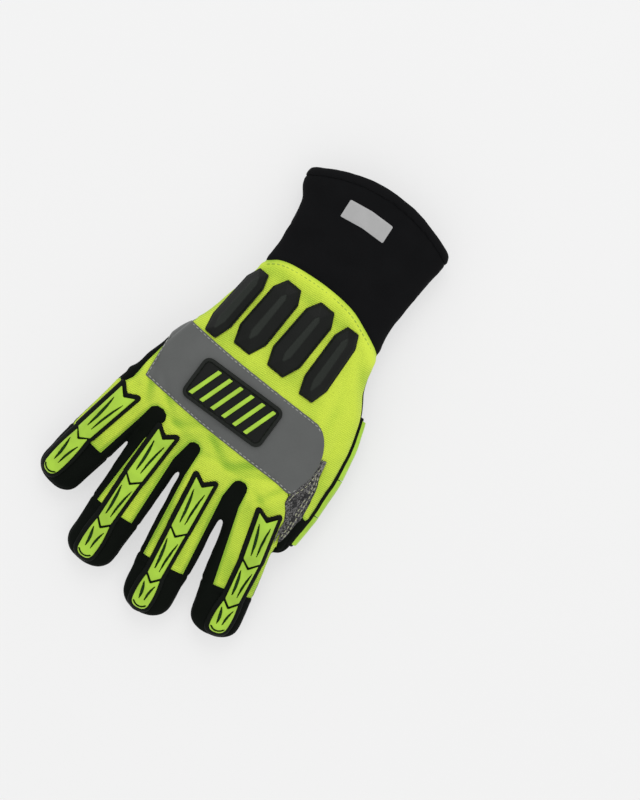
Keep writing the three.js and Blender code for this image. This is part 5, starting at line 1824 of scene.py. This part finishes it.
def segment_carving(name, part):
    """How deep the grooves of a segment are at points in plan, as a share of their depth."""
    root, forward, side, reach, width = finger_axes(name)
    stops, sides = GUARDS[name]
    low, high = stops[part] * reach, stops[part + 1] * reach
    last = part == len(stops) - 2
    from_along = mix(low, high, GROOVE_START)
    to_along = mix(low, high, NOSE_START if last else GROOVE_END)
    arc_before, arc_radius, arc_half, arc_start = ARC

    def carve(points):
        along = (points - root) @ forward
        out = (points - root) @ side - np.interp(along / reach, stops, sides) * width
        share = (along - from_along) / (to_along - from_along)
        centre = np.interp(share, *zip(*GROOVE_AWAY))
        lens = np.sin(math.pi * np.clip(share, 0, 1)) ** 0.7
        narrow = np.where(out > 0, 1.0, INNER_GROOVE)
        half = np.maximum(mm("groove_width") / 2 * lens * narrow, 1e-3)
        deep = groove(np.abs(out) - centre, half) * (lens > 0.02)
        if last:
            beyond = along - (high - arc_before)
            arc = groove(np.hypot(out, beyond) - arc_radius, arc_half)
            deep = np.maximum(deep, arc * (beyond > arc_start))
        return deep

    return carve


def guard_pieces():
    base_high, tall = mm("guard_base"), mm("guard_height")

    def pad(points, inside):
        return base_high - 0.4 * edge_drop(inside, 1.0)

    for name, (stops, _) in GUARDS.items():
        base = moulded(base_outline(name), base_high, pad, -GUARD_SINK)
        node = f"guard_base_{name}"
        add_piece(node + "_rubber", base, "base_rubber", node)
        for part in range(len(stops) - 1):
            outline = inset(segment_outline(name, part, 0.0), mm("guard_slit") / 2)
            carve = segment_carving(name, part)

            def crown(points, inside, carve=carve):
                dome = tall * (0.7 + 0.3 * np.sin(np.clip(inside / 4.0, 0, 1) * math.pi / 2))
                return dome - carve(points) * mm("groove_depth")

            mesh = moulded(outline, tall, crown, base_high - 2 * GUARD_SINK, voxel=0.34, smoothing=2)
            # The carved depth also masks the painted shade of the grooves.
            set_attribute(mesh, "carved", carve(coordinates(mesh)[:, :2]))
            node = f"guard_{name}_{part + 1}"
            add_piece(node + "_rubber", mesh, "lime", node, sharp=60.0)


def thumb_guard_outline(edge):
    start, end, inner, _ = THUMB_GUARD
    across = inner - edge / mm("thumb_width")
    trim = edge / mm("thumb_length")
    inner_line = [thumb_point(along, across) for along in np.linspace(start + trim, end - trim, 14)]
    outer_start, outer_end = (thumb_point(along, THUMB_OUTSIDE) for along in (start + trim, end - trim))
    return [outer_start, *inner_line, outer_end]


def thumb_guard_pieces():
    level = mm("cloth_level") + THUMB_GUARD[3] * mm("thumb_depth")
    base = layer(thumb_guard_outline(0.0), 0.0, mm("guard_base"), 1.0, "below")
    base = common(base, prism(thumb_guard_outline(0.0), level))
    add_piece("guard_base_thumb_rubber", base, "base_rubber", "guard_base_thumb")
    edge = 0.8 * mm("guard_rim")
    low = mm("guard_base")
    top = layer(thumb_guard_outline(edge), low, low + THUMB_GUARD_HEIGHT, 1.2, "below")
    top = common(top, prism(thumb_guard_outline(edge), level + edge))
    slit = mm("guard_slit") / 5 / mm("thumb_length")
    notch = 0.5 * mm("guard_notch") / mm("thumb_length")
    inner = THUMB_GUARD[2]
    for along in THUMB_GUARD_SLITS:
        points = [(along, inner + 0.3), (along + notch, inner - 0.15), (along, THUMB_OUTSIDE)]
        line = [thumb_point(place - slit, across) for place, across in points]
        line += [thumb_point(place + slit, across) for place, across in reversed(points)]
        top = cut(top, prism(line))
    add_piece("guard_thumb_rubber", top, "lime", "guard_thumb")


def finger_patch_sides(name, start, end):
    right = [finger_point(name, start, PATCH_HALF), finger_point(name, end, PATCH_HALF)]
    left = [finger_point(name, end, -PATCH_HALF), finger_point(name, start, -PATCH_HALF)]
    return right + left


def without_crotches(outline):
    """An outline with the round cuts at the finger crotches taken out of its points."""
    along, radius, half_way = CROTCH
    points = np.array(rounded(outline, 1.5, 1))
    for first, second in (row[:2] for row in FOURCHETTES):
        centre = (finger_point(first, along, 0.5) + finger_point(second, along, -0.5)) / 2
        offset = points - centre
        in_way = np.abs(offset[:, 0]) < half_way
        offset[:, 1] = np.where(in_way, -np.abs(offset[:, 1]), offset[:, 1])
        away = np.hypot(offset[:, 0], offset[:, 1])
        near = away < radius
        points[near] = centre + offset[near] / away[near, None] * radius
    for _ in range(6):
        points = (np.roll(points, 1, 0) + 2 * points + np.roll(points, -1, 0)) / 4
    return list(points)


def patch_outlines():
    """Outline of each grip patch, by node."""
    upper = hand_points(UPPER_PATCH_LEFT)
    for name in ("little", "ring", "middle"):
        upper += finger_patch_sides(name, PATCH_ROOT, PATCH_BREAK[0])
    index = hand_points(INDEX_PATCH_LEFT)
    index += finger_patch_sides("index", PATCH_ROOT, PATCH_BREAK[0])
    index += hand_points(INDEX_PATCH_RIGHT)
    outlines = {
        "palm_patch_upper": without_crotches(upper),
        "palm_patch_middle": rounded(hand_points(MIDDLE_PATCH), 5, 2),
        "palm_patch_lower": rounded(hand_points(LOWER_PATCH), 5, 2),
        "palm_patch_index": without_crotches(index),
    }
    for name in FINGERS:
        sides = finger_patch_sides(name, PATCH_BREAK[1], PATCH_END - 0.05)
        ends = [finger_point(name, PATCH_END, out * PATCH_HALF) for out in (0.6, -0.6)]
        outlines[f"tip_patch_{name}"] = rounded([*sides[:2], *ends, *sides[2:]], 6, 2)
    return outlines


def patch_pieces():
    stitches, dots = [], []
    thick = mm("patch_thickness")
    for node, outline in patch_outlines().items():
        add_piece(node + "_cloth", layer(outline, 0.0, thick, 0.9, "below"), "grip", node)
        for distance in PATCH_STITCH_ROWS:
            stitches += stitch_places(inset(outline, distance), True, "bottom", thick)
        dots += dot_places(outline, thick, "bottom", DOT_MARGIN)
    add_stitches("palm_stitches", stitches, "thread")
    add_dots("palm_grip_dots", dots)
    places = wrist_stitches(WRIST_STITCHES_PALM, "bottom", 0.2)
    add_stitches("wrist_stitches_palm", places, "lime_thread")


def thumb_patch_piece():
    start, end = THUMB_PATCH
    thick = mm("patch_thickness")

    def strip(across):
        inner = [thumb_point(along, across) for along in np.linspace(start, end, 12)]
        return [thumb_point(end, 0.8), thumb_point(start, 0.8), *inner]

    middle = mm("cloth_level") + mm("thumb_depth") / 2
    bare = THUMB_CROTCH * mm("hand_length") / mm("thumb_length") - THUMB_ROOT[1]
    crotch = thumb_point(bare, 0)[1]
    region = common(prism(strip(THUMB_PATCH_TOP), middle), prism(above_line(crotch)))
    region = joined(region, prism(strip(THUMB_PATCH_UNDER), -EVERYWHERE, middle))
    skin = common(grown_skin(thick), thumb(thick + THUMB_MARGIN))
    mesh = cut(common(skin, region), surface("cloth"))
    add_piece("thumb_patch_cloth", mesh, "grip", "thumb_patch")


def gusset_piece():
    """The grip fabric that closes the hand between the thumb and the index finger."""
    thick = mm("patch_thickness")
    outline = rounded(hand_points(GUSSET), 4, 2)

    def flat(points, inside):
        return GUSSET_HEIGHT - 0.5 * edge_drop(inside, 0.8)

    lift = thick - GUSSET_HEIGHT
    mesh = moulded(outline, GUSSET_HEIGHT, flat, lift, smoothing=2, field="bridged")
    # Painted shade: the whole gusset is darkened, as the shade between the thumb and the index finger.
    set_attribute(mesh, "shade", np.full(len(mesh.vertices), 0.55))
    add_piece("index_gusset_cloth", mesh, "grip")
    seam = curve(hand_points(GUSSET_SEAM))
    beside = [point + (1.5, 0.3) for point in seam]
    edge = curve([point + (-1.4, 0.0) for point in hand_points(GUSSET[1:5])])
    places = []
    for row in (seam, beside, edge):
        places += stitch_places(row, False, "bridged", thick + 0.05)
    add_stitches("gusset_stitches", places, "thread")
    add_dots("gusset_dots", dot_places(outline, thick, "bridged", GUSSET_DOT_MARGIN))


def trim_pieces():
    """Label, tag and pull tab on the cuff."""
    corner = 0.8
    size = (mm("label_length"), mm("label_width"))
    centre = cuff_point(LABEL_PLACE)
    outline = []
    for start, end in pairs(rounded_box(*size, corner, centre, LABEL_TURN)):
        outline += [start, (start + end) / 2]
    half, bow = mm("label_length") / 2, mm("label_bow")
    outline = [point - (0, bow * (1 - ((point - centre)[0] / half) ** 2)) for point in outline]
    add_piece("cuff_label_cloth", layer(outline, 0.0, 0.6, 0.7, "above"), "label", "cuff_label")
    tab_centre = cuff_point(TAB_PLACE) + (0, mm("tab_length") / 2)
    outline = rounded_box(mm("tab_width"), mm("tab_length"), corner, tab_centre, 0)
    add_piece("pull_tab_cloth", layer(outline, 0.6, 1.9, 0.9, "below"), "neoprene", "pull_tab")
    top = tab_centre[1] + mm("tab_length") / 2 + 0.4
    tag_centre = (TAG_ACROSS * mm("cuff_width"), top + mm("tag_length") / 2)
    outline = rounded_box(mm("tag_width"), mm("tag_length"), corner, tag_centre, 0)
    add_piece("cuff_tag_rubber", layer(outline, 0.0, 1.5, 0.8, "below"), "rubber", "cuff_tag")


def top_stitches():
    """Rows of stitches around the band and along the wrist, on the back of the hand."""
    nose = hand_point(BAND_LINE[1])
    band_top = nose[1] + mm("band_width") / 2

    def in_sight(point):
        return point[0] > nose[0] - 7 or point[1] > band_top - 3

    row = inset(band_outline(), BAND_STITCH_INSET)
    places = stitch_places(row, True, "top", mm("band_thickness") + 0.05, in_sight)
    add_stitches("band_stitches", places, "pale_thread")
    add_stitches("wrist_stitches", wrist_stitches(WRIST_STITCHES, "top", 0.15), "lime_thread")


# Operators


class GLOVE_OT_cloth(bpy.types.Operator):
    """Sew the cloth panels of the glove"""

    bl_idname = "glove.cloth"
    bl_label = "Cloth panels"

    def execute(self, context):
        cloth_panels()
        return {"FINISHED"}


class GLOVE_OT_back(bpy.types.Operator):
    """Add the reflective band, the knuckle plate and the ribs"""

    bl_idname = "glove.back"
    bl_label = "Band, plate and ribs"

    def execute(self, context):
        band_piece()
        plate_piece()
        plate_bars()
        rib_pieces()
        return {"FINISHED"}


class GLOVE_OT_guards(bpy.types.Operator):
    """Mould the guards on the fingers and the thumb"""

    bl_idname = "glove.guards"
    bl_label = "Finger guards"

    def execute(self, context):
        guard_pieces()
        thumb_guard_pieces()
        return {"FINISHED"}


class GLOVE_OT_patches(bpy.types.Operator):
    """Sew the grip patches on the palm and the thumb"""

    bl_idname = "glove.patches"
    bl_label = "Grip patches"

    def execute(self, context):
        patch_pieces()
        thumb_patch_piece()
        gusset_piece()
        return {"FINISHED"}


class GLOVE_OT_trim(bpy.types.Operator):
    """Add the label, tag, pull tab and the stitches on the back"""

    bl_idname = "glove.trim"
    bl_label = "Trim and stitches"

    def execute(self, context):
        trim_pieces()
        top_stitches()
        return {"FINISHED"}


class GLOVE_OT_stage(bpy.types.Operator):
    """Set the floor, the lights and the camera"""

    bl_idname = "glove.stage"
    bl_label = "Stage"

    def execute(self, context):
        floor_and_light(context)
        camera(context)
        return {"FINISHED"}


class GLOVE_PT_panel(bpy.types.Panel):
    """The glove's pieces and sizes"""

    bl_label = "Impact glove"
    bl_idname = "GLOVE_PT_panel"
    bl_space_type = "VIEW_3D"
    bl_region_type = "UI"
    bl_category = "Glove"

    def draw(self, context):
        for operator in OPERATORS:
            self.layout.operator(operator.bl_idname)
        scene = context.scene
        for group in (scene.glove_sizes, scene.glove_trim, scene.glove_colours):
            for name in group.__annotations__:
                self.layout.prop(group, name)


def add_light(context, name, energy, place, size):
    """A soft light that points at the glove."""
    data = bpy.data.lights.new(name, "AREA")
    data.energy = energy
    data.size = size
    light = bpy.data.objects.new(name, data)
    light.location = place
    light.rotation_euler = (-Vector(place)).to_track_quat("-Z", "Y").to_euler()
    context.scene.collection.objects.link(light)


def floor_and_light(context):
    bm = bmesh.new()
    bmesh.ops.create_grid(bm, x_segments=2, y_segments=2, size=FLOOR_SIZE)
    floor_mesh = to_mesh(bm, "floor")
    floor = bpy.data.objects.new("floor", floor_mesh)
    finish = Finish("floor", 0.9, Emission_Color=WHITE, Emission_Strength=FLOOR_GLOW)
    base = finish.blend(finish.noise(40.0), tint("floor", 0.99), tint("floor"))
    floor_mesh.materials.append(finish.done(base))
    context.scene.collection.objects.link(floor)
    world = bpy.data.worlds.new("studio")
    world.use_nodes = True
    background = world.node_tree.nodes["Background"]
    background.inputs["Color"].default_value = WHITE
    background.inputs["Strength"].default_value = WORLD_LIGHT
    context.scene.world = world
    context.scene.view_settings.view_transform = "Standard"
    for light in LIGHTS:
        add_light(context, *light)


def camera(context):
    """Straight above, turned as the photograph is."""
    data = bpy.data.cameras.new("camera")
    data.lens = CAMERA_LENS
    data.sensor_width = 36.0
    data.clip_end = 20.0
    view = bpy.data.objects.new("camera", data)
    right, up = Vector(CAMERA_RIGHT), Vector(CAMERA_UP)
    turn = Matrix((right, up, right.cross(up))).transposed()
    view.rotation_euler = turn.to_euler()
    view.location = CAMERA_PLACE
    context.scene.collection.objects.link(view)
    context.scene.camera = view


GROUPS = (GloveSizes, GloveTrim, GloveColours)
OPERATORS = (
    GLOVE_OT_cloth,
    GLOVE_OT_back,
    GLOVE_OT_guards,
    GLOVE_OT_patches,
    GLOVE_OT_trim,
    GLOVE_OT_stage,
)


def register():
    for item in (*GROUPS, *OPERATORS, GLOVE_PT_panel):
        bpy.utils.register_class(item)
    bpy.types.Scene.glove_sizes = bpy.props.PointerProperty(type=GloveSizes)
    bpy.types.Scene.glove_trim = bpy.props.PointerProperty(type=GloveTrim)
    bpy.types.Scene.glove_colours = bpy.props.PointerProperty(type=GloveColours)


def unregister():
    del bpy.types.Scene.glove_sizes
    del bpy.types.Scene.glove_trim
    del bpy.types.Scene.glove_colours
    for item in reversed((*GROUPS, *OPERATORS, GLOVE_PT_panel)):
        bpy.utils.unregister_class(item)


def main():
    """Make every piece and the stage."""
    register()
    bpy.ops.glove.cloth()
    bpy.ops.glove.back()
    bpy.ops.glove.guards()
    bpy.ops.glove.patches()
    bpy.ops.glove.trim()
    bpy.ops.glove.stage()


if __name__ == "__main__":
    main()
